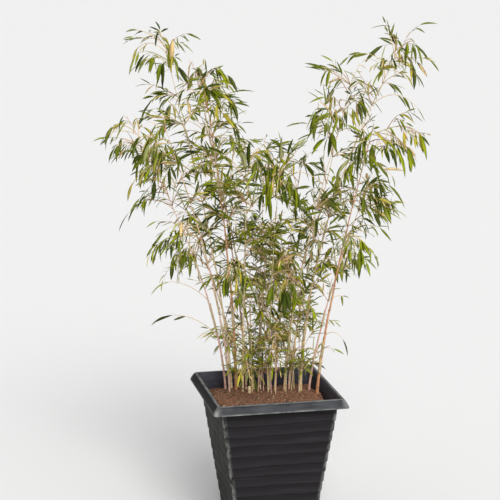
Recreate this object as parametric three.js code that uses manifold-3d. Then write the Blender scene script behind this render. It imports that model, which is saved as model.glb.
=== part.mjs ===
// Potted bamboo: a clump of thin leafy canes in a square, tapering plastic pot.
// Millimetres, +Z up. The origin is the middle of the pot's flat underside, and the pot faces -Y.
// The clump has a frame of its own, turned a little to the pot: x runs across it, y runs away.
import * as THREE from 'three';
import { mergeVertices } from 'three/addons/utils/BufferGeometryUtils.js';
import Module from 'manifold-3d';

const wasm = await Module();
wasm.setup();

// Pot: sizes across the flats, and heights above the underside
const potHeight = 300;
const ridgeWidth = 262;
const ridgeLand = 5;
const lipWidth = 280;
const lipDrop = 18;
const lipLand = 3;
const bodyWidth = 245;
const bodyTaper = 0.145;
const wallThickness = 3.2;
const floorThickness = 4;
const footBevel = 3;
const potCorner = 5;
const ribPitch = 22.6;
const ribRelief = 1.5;
const drainHoleDiameter = 12;
const drainHoleSpacing = 90;

// Soil: it lies low along the walls and rises to a level bed that the canes stand on
const soilEdgeHeight = 264;
const soilBedHeight = 281;
const soilBed = { across: 110, away: 54, shift: -8, corner: 40 };

// Clump
const clumpTurn = THREE.MathUtils.degToRad(-12.2);
const gap = 0.3;
const tolerance = 0.02;
const footZ = soilBedHeight + gap;
const caneSides = 5;
const caneRings = 7;
const caneTipShare = 0.5;
const stemRadius = 1.7;
const stemTipRadius = 1.25;
const stemRings = 3;
const stemEnd = 0.97;
const twigRadius = 1.35;
const twigTipRadius = 1.2;
const firstSeed = 12;
const clearance = 1.4;
const rimClearance = 6;

// A side stem rises off its cane, then leans out and sags, by shares of its length
const stemRise = THREE.MathUtils.degToRad(48);
const stemBend = 0.55;
const stemLean = 0.1;
const stemSag = 0.12;

// Twigs go round a stem by the golden angle, from its lower part to its end
const goldenAngle = THREE.MathUtils.degToRad(137.5);
const twigsFrom = 0.2;
const twigsTo = 0.9;
const twigForward = 0.75;
const twigScatter = 0.6;
const twigLongest = 1.2;
const twigShorter = 0.45;
const twigSpread = [0.85, 1.15];
const nextTry = 1.1;
const stemTries = 30;
const twigTries = 8;
const leafTries = 4;

// Leaves: larger than life, as each stands for a few
const leafLength = 66;
const leafWidth = 13;
const leafThickness = 1.2;
const leafDroop = 0.1;
const shoulderShare = 0.38;
const keelShare = 0.3;
const leafHang = [0.15, 0.6];
const leafTurn = [0.6, 0.95];
const leafSpread = [0.8, 1.2];
const leafRoll = 1.4;
const leafSpacing = 8;
const asideLeaves = 3;

// Each cane: where its foot and its tip are, how late it leans out (arch), how thick it is, how
// far up it enters the spray round its tip, and the sprays beside it, each with its height as a
// share of the cane's, the way it points in degrees from across, and its length.
const canes = [
  { name: 'far_left', foot: [-89, 38], tip: [-285, -40, 875], arch: 1.55, girth: 6.2, enters: 0.82,
    sides: [[0.5, 300, 70], [0.7, 285, 80]] },
  { name: 'left_tall', foot: [-76, 42], tip: [-222, 60, 1040], arch: 1.4, girth: 6.4, enters: 0.84,
    sides: [[0.44, 120, 95], [0.7, 100, 105]] },
  { name: 'left_thick', foot: [-66, 32], tip: [-130, -90, 957], arch: 1.6, girth: 8.4, enters: 0.8,
    sides: [] },
  { name: 'left_front', foot: [-80, 20], tip: [-205, -165, 875], arch: 1.5, girth: 5.6, enters: 0.8,
    sides: [[0.16, 300, 60], [0.58, 255, 105]] },
  { name: 'left_back', foot: [-62, 47], tip: [-240, 160, 790], arch: 1.5, girth: 5.6, enters: 0.78,
    sides: [[0.14, 95, 66], [0.5, 130, 110]] },
  { name: 'back_tall', foot: [-45, 40], tip: [-160, 165, 966], arch: 1.6, girth: 6, enters: 0.82,
    sides: [[0.6, 105, 115]] },
  { name: 'middle_left', foot: [-52, 18], tip: [-38, -150, 840], arch: 1.7, girth: 5.6, enters: 0.8,
    sides: [[0.12, 280, 62], [0.5, 255, 105]] },
  { name: 'middle_tall', foot: [-29, 34], tip: [-128, 20, 850], arch: 1.5, girth: 6.2, enters: 0.8,
    sides: [[0.52, 40, 90]] },
  { name: 'middle_back', foot: [-18, 44], tip: [-5, 205, 780], arch: 1.7, girth: 5.4, enters: 0.78,
    sides: [[0.15, 75, 66], [0.45, 80, 100]] },
  { name: 'middle_front', foot: [2, 24], tip: [22, -200, 815], arch: 1.7, girth: 5.6, enters: 0.8,
    sides: [[0.17, 285, 66], [0.5, 300, 100]] },
  { name: 'middle_right', foot: [17, 38], tip: [72, 60, 770], arch: 1.5, girth: 5.6, enters: 0.76,
    sides: [] },
  { name: 'right_tall', foot: [36, 26], tip: [152, -85, 892], arch: 1.5, girth: 6, enters: 0.82,
    sides: [[0.13, 300, 62], [0.5, 272, 105]] },
  { name: 'right_back', foot: [46, 40], tip: [180, 120, 945], arch: 1.3, girth: 5.8, enters: 0.82,
    sides: [[0.16, 65, 66], [0.55, 75, 110]] },
  { name: 'far_right', foot: [70, 22], tip: [284, -10, 1040], arch: 1.9, girth: 7, enters: 0.84,
    sides: [[0.52, 310, 90], [0.7, 20, 95]] },
  { name: 'right_front', foot: [104, 6], tip: [205, -125, 865], arch: 1.3, girth: 8, enters: 0.82,
    sides: [[0.14, 235, 58], [0.58, 268, 80]] },
  { name: 'right_low', foot: [88, 30], tip: [212, 80, 720], arch: 1.35, girth: 6.4, enters: 0.76,
    sides: [[0.56, 110, 75]] },
];
const cutStub = { at: [-38, 8], height: 14, girth: 7 };

// How many twigs each kind of spray bears, their length, and the size of their leaves
const sprayKinds = {
  tip: { twigs: 5, twigLength: 48, leafScale: 1 },
  side: { twigs: 5, twigLength: 46, leafScale: 0.95 },
  low: { twigs: 4, twigLength: 36, leafScale: 0.75 },
};
const lowBelow = 0.45;

const potPlastic = { color: 0x2f3134, roughness: 0.55, metalness: 0 };
const soilBrown = { color: 0x5a4030, roughness: 0.95, metalness: 0 };
const caneTints = [0xb59a6a, 0xa67a55, 0x97603f, 0x9a8c58];
const leafTints = [0x4f6b2a, 0x5d7a33, 0x3f5a25, 0x7d8f3f];

// A closed indexed mesh with one vertex at each place and no triangle that has no area
function closed(geometry) {
  geometry.deleteAttribute('normal');
  geometry.deleteAttribute('uv');
  const merged = mergeVertices(geometry, 1e-4);
  const corners = Array.from(merged.index.array);
  const kept = [];
  for (let i = 0; i < corners.length; i += 3) {
    const [a, b, c] = corners.slice(i, i + 3);
    if (a !== b && b !== c && c !== a) {
      kept.push(a, b, c);
    }
  }
  merged.setIndex(kept);
  return merged;
}

function solidOf(geometry) {
  const mesh = closed(geometry);
  const vertProperties = new Float32Array(mesh.attributes.position.array);
  const triVerts = new Uint32Array(mesh.index.array);
  return new wasm.Manifold(new wasm.Mesh({ numProp: 3, vertProperties, triVerts, tolerance }));
}

function geometryOf(solid) {
  const { vertProperties, triVerts } = solid.getMesh();
  const geometry = new THREE.BufferGeometry();
  geometry.setAttribute('position', new THREE.BufferAttribute(vertProperties, 3));
  geometry.setIndex(new THREE.BufferAttribute(triVerts, 1));
  return geometry;
}

function namedMesh(name, geometry, look) {
  geometry.computeVertexNormals();
  const mesh = new THREE.Mesh(geometry, new THREE.MeshStandardMaterial(look));
  mesh.name = name;
  return mesh;
}

// A lathe form whose rings are squares with rounded corners. Each row of the profile gives half
// the ring's width, its height and its corner, and may give another depth, a shift and a turn.
function squareLathe(rows) {
  const arcSteps = 3;
  const segments = 4 * arcSteps;
  const profile = rows.map((row) => new THREE.Vector2(row.half, row.z));
  const geometry = new THREE.LatheGeometry(profile, segments).rotateX(Math.PI / 2);
  const place = geometry.attributes.position;
  for (let n = 0; n < place.count; n++) {
    const row = rows[n % rows.length];
    const step = Math.floor(n / rows.length) % segments;
    const quarter = Math.floor(step / arcSteps) * Math.PI / 2;
    const angle = quarter + (step % arcSteps) * Math.PI / 4;
    const depth = row.depth ?? row.half;
    const corner = Math.min(row.corner ?? potCorner, row.half, depth);
    const point = new THREE.Vector2(
      Math.sign(Math.cos(quarter + Math.PI / 4)) * (row.half - corner) + corner * Math.cos(angle),
      Math.sign(Math.sin(quarter + Math.PI / 4)) * (depth - corner) + corner * Math.sin(angle),
    );
    point.y += row.shift ?? 0;
    point.rotateAround(new THREE.Vector2(), row.turn ?? 0);
    place.setXY(n, point.x, point.y);
  }
  return geometry;
}

const lipBottom = potHeight - lipDrop;
const bodyHalf = (z) => bodyWidth / 2 - (lipBottom - z) * bodyTaper;
const innerHalf = (z) => bodyHalf(z) - wallThickness;

function makePot() {
  const rows = [{ half: 0, z: 0 }, { half: bodyHalf(0) - footBevel, z: 0 }];
  const bands = Math.floor((lipBottom - footBevel) / ribPitch);
  for (let band = 0; band < bands; band++) {
    const low = footBevel + band * ribPitch;
    rows.push({ half: bodyHalf(low), z: low });
    rows.push({ half: bodyHalf(low + ribPitch) - ribRelief, z: low + ribPitch - 2 * ribRelief });
  }
  rows.push({ half: bodyHalf(lipBottom) - ribRelief, z: lipBottom });
  rows.push({ half: lipWidth / 2, z: lipBottom });
  rows.push({ half: lipWidth / 2, z: lipBottom + lipLand });
  rows.push({ half: ridgeWidth / 2, z: potHeight });
  rows.push({ half: ridgeWidth / 2 - ridgeLand, z: potHeight });
  rows.push({ half: innerHalf(lipBottom), z: lipBottom });
  rows.push({ half: innerHalf(floorThickness), z: floorThickness });
  rows.push({ half: 0, z: floorThickness });
  let pot = solidOf(squareLathe(rows));
  for (const [sideX, sideY] of [[1, 1], [1, -1], [-1, 1], [-1, -1]]) {
    const hole = new THREE.CylinderGeometry(drainHoleDiameter / 2, drainHoleDiameter / 2, 20, 12);
    hole.rotateX(Math.PI / 2);
    hole.translate(sideX * drainHoleSpacing / 2, sideY * drainHoleSpacing / 2, 0);
    pot = pot.subtract(solidOf(hole));
  }
  return namedMesh('pot', geometryOf(pot), potPlastic);
}

function makeSoil() {
  const clear = gap + 0.1;
  const { across, away, shift, corner } = soilBed;
  const bottom = floorThickness + clear;
  const rows = [
    { half: 0, z: bottom },
    { half: innerHalf(bottom) - clear, z: bottom },
    { half: innerHalf(soilEdgeHeight) - clear, z: soilEdgeHeight },
    { half: across, depth: away, z: soilBedHeight, corner, shift, turn: clumpTurn },
    { half: 0, z: soilBedHeight, shift, turn: clumpTurn },
  ];
  return namedMesh('soil', closed(squareLathe(rows)), soilBrown);
}

const between = ([low, high], share) => low + (high - low) * share;

// The same numbers between 0 and 1 for the same seed
function randomStream(seed) {
  let state = seed >>> 0;
  return () => {
    state = (state + 0x6d2b79f5) >>> 0;
    let mix = Math.imul(state ^ (state >>> 15), state | 1);
    mix ^= mix + Math.imul(mix ^ (mix >>> 7), mix | 61);
    return ((mix ^ (mix >>> 14)) >>> 0) / 4294967296;
  };
}

// A cane's line rises evenly and leans out late
class CaneLine extends THREE.Curve {
  constructor(cane, from = 0, to = 1) {
    super();
    Object.assign(this, { cane, from, to });
  }

  getPoint(share, target = new THREE.Vector3()) {
    const { foot, tip, arch } = this.cane;
    const t = this.from + (this.to - this.from) * share;
    const lean = t ** arch;
    return target.set(
      foot[0] + (tip[0] - foot[0]) * lean,
      foot[1] + (tip[1] - foot[1]) * lean,
      footZ + (tip[2] - footZ) * t,
    );
  }
}

// A line of straight pieces along a curve, which a limb with as many rings follows exactly
class Chain extends THREE.Curve {
  constructor(curve, pieces) {
    super();
    this.points = curve.getPoints(pieces);
  }

  getPoint(share, target = new THREE.Vector3()) {
    const pieces = this.points.length - 1;
    const piece = Math.min(Math.floor(share * pieces), pieces - 1);
    return target.lerpVectors(this.points[piece], this.points[piece + 1], share * pieces - piece);
  }
}

const caneRadius = (cane, t) => cane.girth / 2 * (1 - (1 - caneTipShare) * t);

// How far a cane's many-sided skin stands off its line in one direction, with room for a stem
function skinAt(radius, along, out) {
  const low = new THREE.Vector3(0, 1, 0);
  low.addScaledVector(along, -low.dot(along)).normalize();
  const turn = Math.atan2(out.dot(along.clone().cross(low)), out.dot(low));
  const half = Math.PI / caneSides;
  const off = THREE.MathUtils.euclideanModulo(turn, 2 * half) - half;
  const room = stemTipRadius * Math.abs(Math.tan(off));
  return Math.min(radius, radius * Math.cos(half) / Math.cos(off) + room);
}

// A tapering limb along a line. The first ring of one that stands on the soil is laid level,
// and one that ends in a leaf goes on to the leaf's shoulders and its tip.
function limb(line, radiusAt, sides, rings, { standing = false, leaf = null } = {}) {
  const allRings = leaf ? rings + 2 : rings;
  const geometry = new THREE.CylinderGeometry(1, 1, 1, sides, allRings);
  const place = geometry.attributes.position;
  const under = leaf ? leaf.up.clone().negate() : new THREE.Vector3(0, 1, 0);
  for (let n = 0; n < place.count; n++) {
    const ring = Math.round((place.getY(n) + 0.5) * allRings);
    const [x, z] = [place.getX(n), place.getZ(n)];
    let point;
    if (ring > rings) {
      point = ring > rings + 1 ? leafPoint(leaf, 'tip') : leafPoint(leaf, shoulderAt(x));
    } else {
      const share = ring / rings;
      const along = line.getTangent(share);
      const low = under.clone().addScaledVector(along, -under.dot(along)).normalize();
      const offset = along.cross(low).multiplyScalar(x).addScaledVector(low, z);
      offset.z *= standing && ring === 0 ? 0 : 1;
      point = line.getPoint(share).addScaledVector(offset, radiusAt(share));
    }
    place.setXYZ(n, point.x, point.y, point.z);
  }
  return geometry;
}

// A leaf is a blade of six faces, with a point at each end, two shoulders and a keel
function leafPoint({ root, along, across, up, length, width }, part) {
  const [reach, aside, rise] = {
    root: [0, 0, 0],
    right: [shoulderShare * length, width / 2, 0],
    left: [shoulderShare * length, -width / 2, 0],
    keel: [keelShare * length, 0, -leafThickness],
    tip: [length, 0, -leafDroop * length],
  }[part];
  return root.clone().addScaledVector(along, reach)
    .addScaledVector(across, aside).addScaledVector(up, rise);
}

function shoulderAt(side) {
  return Math.abs(side) < 0.1 ? 'keel' : side > 0 ? 'right' : 'left';
}

function looseLeaf(leaf) {
  const geometry = new THREE.SphereGeometry(1, 3, 2);
  const place = geometry.attributes.position;
  for (let n = 0; n < place.count; n++) {
    const end = place.getY(n);
    const side = place.getX(n) < -0.9 ? 0 : place.getZ(n);
    const part = Math.abs(end) < 0.5 ? shoulderAt(side) : (end > 0 ? 'tip' : 'root');
    const point = leafPoint(leaf, part);
    place.setXYZ(n, point.x, point.y, point.z);
  }
  return geometry;
}

// Every spray knows its stem before any twig grows, so that each keeps to its own space
function planSprays() {
  const sprays = [];
  for (const cane of canes) {
    const whole = new CaneLine(cane);
    const step = gap / whole.getLength();
    const pieces = new Chain(new CaneLine(cane, 0, cane.enters), caneRings);
    const radius = Math.min(caneRadius(cane, cane.enters), stemRadius);
    sprays.push({
      name: `leaves_${cane.name}_tip`,
      stem: new Chain(new CaneLine(cane, cane.enters + step, stemEnd), stemRings),
      radius,
      ...sprayKinds.tip,
    });
    cane.sides.forEach(([height, degrees, length], i) => {
      const heading = THREE.MathUtils.degToRad(degrees);
      const along = whole.getTangent(height);
      const out = new THREE.Vector3(Math.cos(heading), Math.sin(heading), 0);
      out.addScaledVector(along, -out.dot(along)).normalize();
      const rise = out.clone().multiplyScalar(Math.cos(stemRise));
      rise.addScaledVector(along, Math.sin(stemRise));
      const skin = skinAt(caneRadius(cane, height), along, out);
      const stand = skin + gap + stemTipRadius * Math.sin(stemRise);
      const start = pieces.getPoint(height / cane.enters).addScaledVector(out, stand);
      const bend = start.clone().addScaledVector(rise, length * stemBend);
      const end = start.clone().addScaledVector(rise, length);
      end.addScaledVector(out, length * stemLean);
      end.z -= length * stemSag;
      sprays.push({
        name: `leaves_${cane.name}_side_${i + 1}`,
        stem: new Chain(new THREE.QuadraticBezierCurve3(start, bend, end), stemRings),
        radius: stemTipRadius,
        ...(height < lowBelow ? sprayKinds.low : sprayKinds.side),
      });
    });
  }
  return sprays;
}

function distanceTo(points, point) {
  const segment = new THREE.Line3();
  const nearest = new THREE.Vector3();
  let least = Infinity;
  for (let i = 1; i < points.length; i++) {
    segment.set(points[i - 1], points[i]).closestPointToPoint(point, true, nearest);
    least = Math.min(least, nearest.distanceTo(point));
  }
  return least;
}

// Says whether round places, each with a reach, are clear of every cane, above the pot, and
// nearer to their own spray's stem than to any other's
function spaceKeeper(sprays) {
  const caneLines = canes.map((cane) => ({
    points: new CaneLine(cane, 0, cane.enters).getPoints(2 * caneRings),
    radius: cane.girth / 2,
  }));
  const stemLines = sprays.map((spray) => spray.stem.points);
  return (own, places) => places.every(([point, reach]) => {
    if (point.z < potHeight + reach + rimClearance) {
      return false;
    }
    if (caneLines.some((line) => distanceTo(line.points, point) < line.radius + reach + clearance)) {
      return false;
    }
    const ownDistance = distanceTo(stemLines[own], point) + 2 * reach + clearance;
    return stemLines.every((line, i) => i === own || distanceTo(line, point) > ownDistance);
  });
}

function unitAcross(along, angle) {
  const level = new THREE.Vector3(-along.y, along.x, 0).normalize();
  return level.applyAxisAngle(along, angle);
}

// A leaf that leaves its line at a turn to one side, and hangs a little
function aimLeaf(line, share, turn, spray, random) {
  const along = line.getTangent(share);
  along.applyAxisAngle(unitAcross(along, Math.PI / 2), turn);
  along.z -= between(leafHang, random());
  along.normalize();
  const across = unitAcross(along, (random() - 0.5) * leafRoll);
  return {
    root: line.getPoint(share),
    along,
    across,
    up: along.clone().cross(across),
    length: leafLength * spray.leafScale * between(leafSpread, random()),
    width: leafWidth * Math.sqrt(spray.leafScale),
  };
}

function leafPlaces(leaf) {
  return [0.25, 0.4, 0.6, 0.8, 1].map((share) => {
    const past = Math.max(0, (share - shoulderShare) / (1 - shoulderShare));
    const width = Math.min(share / shoulderShare, 1 - past);
    const point = leaf.root.clone().addScaledVector(leaf.along, share * leaf.length)
      .addScaledVector(leaf.up, -leafDroop * leaf.length * past);
    return [point, 0.5 + width * leaf.width / 2];
  });
}

const apart = (places, taken) => places.every(([point, reach]) =>
  taken.every(([other, otherReach]) => point.distanceTo(other) > reach + otherReach));

// A stem or twig that ends in a leaf, with more leaves turned aside to right and left below it
function growLeafy(line, radiusAt, rings, asideLeaves, spray, random, mayGrow) {
  const endLeaf = aimLeaf(line, 1, 0, spray, random);
  const endPlaces = leafPlaces(endLeaf);
  if (!mayGrow(endPlaces)) {
    return [];
  }
  const pieces = [limb(line, radiusAt, 3, rings, { leaf: endLeaf })];
  spray.taken.push(...endPlaces);
  const length = line.getLength();
  for (let i = 0; i < asideLeaves; i++) {
    for (let attempt = 0; attempt < leafTries; attempt++) {
      const turn = (i % 2 ? 1 : -1) * between(leafTurn, random());
      const leaf = aimLeaf(line, 1 - (2 + i * leafSpacing) / length, turn, spray, random);
      const places = leafPlaces(leaf);
      if (mayGrow(places)) {
        spray.taken.push(...places);
        pieces.push(looseLeaf(leaf));
        break;
      }
    }
  }
  return pieces;
}

// Twigs go round the stem by the golden angle and shorten towards its end
function growSpray(spray, own, fits) {
  const random = randomStream(firstSeed + 17 * own);
  spray.taken = [];
  const mayGrow = (places) => fits(own, places) && apart(places, spray.taken);
  const stemTaper = (share) => Math.max(spray.radius * (1 - 0.5 * share), stemTipRadius);
  const twigTaper = (share) => twigRadius + (twigTipRadius - twigRadius) * share;
  let pieces = [];
  for (let attempt = 0; attempt < stemTries && pieces.length === 0; attempt++) {
    pieces = growLeafy(spray.stem, stemTaper, stemRings, 1, spray, random, mayGrow);
  }
  if (pieces.length === 0) {
    pieces.push(limb(spray.stem, stemTaper, 3, stemRings));
  }
  for (let i = 0; i < spray.twigs; i++) {
    for (let attempt = 0; attempt < twigTries; attempt++) {
      const share = between([twigsFrom, twigsTo], (i + random()) / spray.twigs);
      const along = spray.stem.getTangent(share);
      const out = unitAcross(along, i * goldenAngle + attempt * nextTry + random() * twigScatter);
      const heading = along.multiplyScalar(twigForward).add(out).normalize();
      const length = spray.twigLength * (twigLongest - twigShorter * share)
        * between(twigSpread, random());
      const start = spray.stem.getPoint(share);
      const twig = new THREE.LineCurve3(start, start.clone().addScaledVector(heading, length));
      const places = [0.35, 0.6, 0.85].map((at) => [twig.getPoint(at), twigRadius]);
      const grown = mayGrow(places)
        ? growLeafy(twig, twigTaper, 1, asideLeaves, spray, random, mayGrow) : [];
      if (grown.length > 0) {
        spray.taken.push(...places);
        pieces.push(...grown);
        break;
      }
    }
  }
  return pieces.map(solidOf).reduce((fused, piece) => fused.add(piece));
}

function makeCane(cane, i) {
  const line = new CaneLine(cane, 0, cane.enters);
  const taper = (share) => caneRadius(cane, share * cane.enters);
  const geometry = closed(limb(line, taper, caneSides, caneRings, { standing: true }));
  const look = { color: caneTints[i % caneTints.length], roughness: 0.5, metalness: 0 };
  return namedMesh(`cane_${cane.name}`, geometry, look);
}

function makeStub() {
  const { at, height, girth } = cutStub;
  const geometry = new THREE.CylinderGeometry(girth * 0.45, girth / 2, height, caneSides);
  const mesh = namedMesh('cane_cut_stub', closed(geometry.rotateX(Math.PI / 2)),
    { color: caneTints[0], roughness: 0.7, metalness: 0 });
  mesh.position.set(at[0], at[1], footZ + height / 2);
  return mesh;
}

const clump = new THREE.Group();
clump.rotation.z = clumpTurn;
clump.add(...canes.map(makeCane), makeStub());
const sprays = planSprays();
const fits = spaceKeeper(sprays);
sprays.forEach((spray, own) => {
  const look = { color: leafTints[own % leafTints.length], roughness: 0.6, metalness: 0 };
  clump.add(namedMesh(spray.name, geometryOf(growSpray(spray, own, fits)), look));
});

const bamboo = new THREE.Group();
bamboo.add(makePot(), makeSoil(), clump);
export default bamboo;
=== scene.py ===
# Potted bamboo: a clump of thin leafy canes in a square, tapering plastic pot
import itertools
import math
import bpy
import numpy as np
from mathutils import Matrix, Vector, noise


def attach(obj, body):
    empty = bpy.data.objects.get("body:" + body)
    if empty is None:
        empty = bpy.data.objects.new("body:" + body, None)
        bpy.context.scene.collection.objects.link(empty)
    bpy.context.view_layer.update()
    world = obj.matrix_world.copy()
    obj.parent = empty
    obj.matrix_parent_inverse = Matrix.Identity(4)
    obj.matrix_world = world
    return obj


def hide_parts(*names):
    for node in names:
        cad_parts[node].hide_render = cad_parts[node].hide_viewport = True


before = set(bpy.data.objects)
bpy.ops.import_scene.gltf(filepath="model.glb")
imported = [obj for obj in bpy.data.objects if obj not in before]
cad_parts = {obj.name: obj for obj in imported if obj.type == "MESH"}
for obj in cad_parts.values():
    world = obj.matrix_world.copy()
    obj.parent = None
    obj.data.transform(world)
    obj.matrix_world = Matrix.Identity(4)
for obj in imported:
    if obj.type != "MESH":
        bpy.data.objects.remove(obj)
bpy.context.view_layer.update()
mm = 0.001  # plant and pot are worked out in millimetres, and placed in metres
fullTurn = 2 * math.pi

# The clump's own frame: x runs across it, y away from the viewer. It's turned a little to the pot.
clump = {
    "turn": -12.2,
    "footZ": 281.3,
    "gap": 0.3,
    "tipShare": 0.5,  # a cane's tip is this much of its girth
    "firstSeed": 12,
    "seedStep": 17,
    "plainSides": 5,
    "plainRings": 7,
}

# A cane leans out late where its arch is high, and enters its top spray at a share of its height.
# Its sides are its side sprays: share of the height, heading in degrees from across, length. It
# carries no tufts below its bare share, and where it's full its upper nodes carry more twigs.
canes = {
    "far_left": dict(foot=(-89, 38), tip=(-285, -40, 875), arch=1.55, girth=6.2, enters=0.82,
                     sides=((0.5, 300, 70), (0.7, 285, 80)), skin="pink", bare=0.44),
    "left_tall": dict(foot=(-76, 42), tip=(-222, 60, 1040), arch=1.4, girth=6.4, enters=0.84,
                      sides=((0.44, 120, 95), (0.7, 100, 105)), skin="straw", bare=0.34, full=3),
    "left_thick": dict(foot=(-66, 32), tip=(-130, -90, 957), arch=1.6, girth=8.4, enters=0.8,
                       sides=(), skin="russet", bare=0.2, full=3),
    "left_front": dict(foot=(-80, 20), tip=(-205, -165, 875), arch=1.5, girth=5.6, enters=0.8,
                       sides=((0.16, 300, 60), (0.58, 255, 105)), skin="pink", bare=0.3),
    "left_back": dict(foot=(-62, 47), tip=(-240, 160, 790), arch=1.5, girth=5.6, enters=0.78,
                      sides=((0.14, 95, 66), (0.5, 130, 110)), skin="straw", bare=0.2),
    "back_tall": dict(foot=(-45, 40), tip=(-160, 165, 966), arch=1.6, girth=6, enters=0.82,
                      sides=((0.6, 105, 115),), skin="pink", full=3),
    "middle_left": dict(foot=(-52, 18), tip=(-38, -150, 840), arch=1.7, girth=5.6, enters=0.8,
                        sides=((0.12, 280, 62), (0.5, 255, 105)), skin="straw"),
    "middle_tall": dict(foot=(-29, 34), tip=(-128, 20, 850), arch=1.5, girth=6.2, enters=0.8,
                        sides=((0.52, 40, 90),), skin="olive"),
    "middle_back": dict(foot=(-18, 44), tip=(-5, 205, 780), arch=1.7, girth=5.4, enters=0.78,
                        sides=((0.15, 75, 66), (0.45, 80, 100)), skin="straw"),
    "middle_front": dict(foot=(2, 24), tip=(22, -200, 815), arch=1.7, girth=5.6, enters=0.8,
                         sides=((0.17, 285, 66), (0.5, 300, 100)), skin="olive"),
    "middle_right": dict(foot=(17, 38), tip=(72, 60, 770), arch=1.5, girth=5.6, enters=0.76,
                         sides=(), skin="pink"),
    "right_tall": dict(foot=(36, 26), tip=(152, -85, 892), arch=1.5, girth=6, enters=0.82,
                       sides=((0.13, 300, 62), (0.5, 272, 105)), skin="straw", bare=0.12),
    "right_back": dict(foot=(46, 40), tip=(180, 120, 945), arch=1.3, girth=5.8, enters=0.82,
                       sides=((0.16, 65, 66), (0.55, 75, 110)), skin="straw", bare=0.16),
    "far_right": dict(foot=(70, 22), tip=(284, -10, 1040), arch=1.9, girth=7, enters=0.84,
                      sides=((0.52, 310, 90), (0.7, 20, 95)), skin="straw", bare=0.4),
    "right_front": dict(foot=(104, 6), tip=(205, -125, 865), arch=1.3, girth=8, enters=0.82,
                        sides=((0.14, 235, 58), (0.58, 268, 80)), skin="russet", bare=0.42),
    "right_low": dict(foot=(88, 30), tip=(212, 80, 720), arch=1.35, girth=6.4, enters=0.76,
                      sides=((0.56, 110, 75),), skin="pink", bare=0.36),
}

# Thin young shoots stand among the canes
shoots = {
    "count": 18,
    "across": (-56, 72),
    "away": (0, 50),
    "apart": 7,
    "lean": (0.9, 1.5),
    "scatter": 26,
    "tops": (440, 700),
    "girths": (2.2, 3.3),
    "arch": 1.15,
    "skins": ("pink", "straw"),
    "seed": 61,
    "nodeSeed": 900,
}

# How sprays branch: the same rule and the same draws as the plain solids
branching = {
    "tip": {"twigs": 5, "twigLength": 48, "leafScale": 1},
    "side": {"twigs": 5, "twigLength": 46, "leafScale": 0.95},
    "low": {"twigs": 4, "twigLength": 36, "leafScale": 0.75},
    "lowBelow": 0.45,
    "stemRadius": 1.7,
    "stemTipRadius": 1.25,
    "stemPieces": 3,
    "canePieces": 14,
    "lengthPieces": 200,
    "stemEnd": 0.97,
    "stemRise": 48,
    "stemBend": 0.55,
    "stemLean": 0.1,
    "stemSag": 0.12,
    "goldenAngle": 137.5,
    "twigRadius": 1.35,
    "twigsFrom": 0.2,
    "twigsTo": 0.9,
    "twigForward": 0.75,
    "twigScatter": 0.6,
    "twigLongest": 1.2,
    "twigShorter": 0.45,
    "twigSpread": (0.85, 1.15),
    "nextTry": 1.1,
    "stemTries": 30,
    "twigTries": 8,
    "leafTries": 4,
    "stemAsideLeaves": 1,
    "asideLeaves": 3,
    "checkedAt": (0.35, 0.6, 0.85),  # shares of a twig where its room is tested
    "clearance": 1.4,
    "rimClearance": 6,
}

# The plain solids' large leaves, each of which stands for a small fan of real ones
plainLeaf = {
    "length": 66,
    "width": 13,
    "droop": 0.1,
    "shoulder": 0.38,
    "hang": (0.15, 0.6),
    "turn": (0.6, 0.95),
    "spread": (0.8, 1.2),
    "roll": 1.4,
    "firstGap": 2,
    "spacing": 8,
    "checkedAt": (0.25, 0.4, 0.6, 0.8, 1),
    "margin": 0.5,
}


# Vectors and curves

def between(span, share):
    return span[0] + (span[1] - span[0]) * share


def sideTurn(k, span, draw):
    return (1 if k % 2 else -1) * between(span, draw())


def upBy(height):
    return np.array((0.0, 0.0, height))


def level(degrees):
    return np.array((math.cos(math.radians(degrees)), math.sin(math.radians(degrees)), 0.0))


def cross(a, b):
    return np.array((a[1] * b[2] - a[2] * b[1], a[2] * b[0] - a[0] * b[2], a[0] * b[1] - a[1] * b[0]))


def unit(v):
    return v / math.sqrt(v[0] * v[0] + v[1] * v[1] + v[2] * v[2])


def turnAbout(v, axis, angle):
    c, s = math.cos(angle), math.sin(angle)
    return v * c + cross(axis, v) * s + axis * (float(axis @ v) * (1 - c))


def unitAcross(along, angle):
    flat = unit(np.array((-along[1], along[0], 0.0)))
    return turnAbout(flat, along, angle)


def tangentOf(pointAt, share, step=1e-4):
    low, high = max(share - step, 0), min(share + step, 1)
    return unit(pointAt(high) - pointAt(low))


def caneLine(cane, low=0.0, high=1.0):
    foot, tip = np.array(cane["foot"], float), np.array(cane["tip"], float)

    def pointAt(share):
        t = low + (high - low) * share
        flat = foot + (tip[:2] - foot) * t ** cane["arch"]
        return np.array((flat[0], flat[1], clump["footZ"] + (tip[2] - clump["footZ"]) * t))

    return pointAt


def bendLine(start, middle, end):
    def pointAt(share):
        return start * (1 - share) ** 2 + middle * (2 * share * (1 - share)) + end * share ** 2

    return pointAt


def pointsOn(pointAt, pieces):
    return [pointAt(n / pieces) for n in range(pieces + 1)]


def chainOf(pointAt, pieces):
    points = pointsOn(pointAt, pieces)

    def chainAt(share):
        piece = min(int(share * pieces), pieces - 1)
        return points[piece] + (points[piece + 1] - points[piece]) * (share * pieces - piece)

    return points, chainAt


def lengthOf(points):
    return sum(float(np.linalg.norm(b - a)) for a, b in zip(points, points[1:]))


def caneRadius(cane, t):
    return cane["girth"] / 2 * (1 - (1 - clump["tipShare"]) * t)


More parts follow.
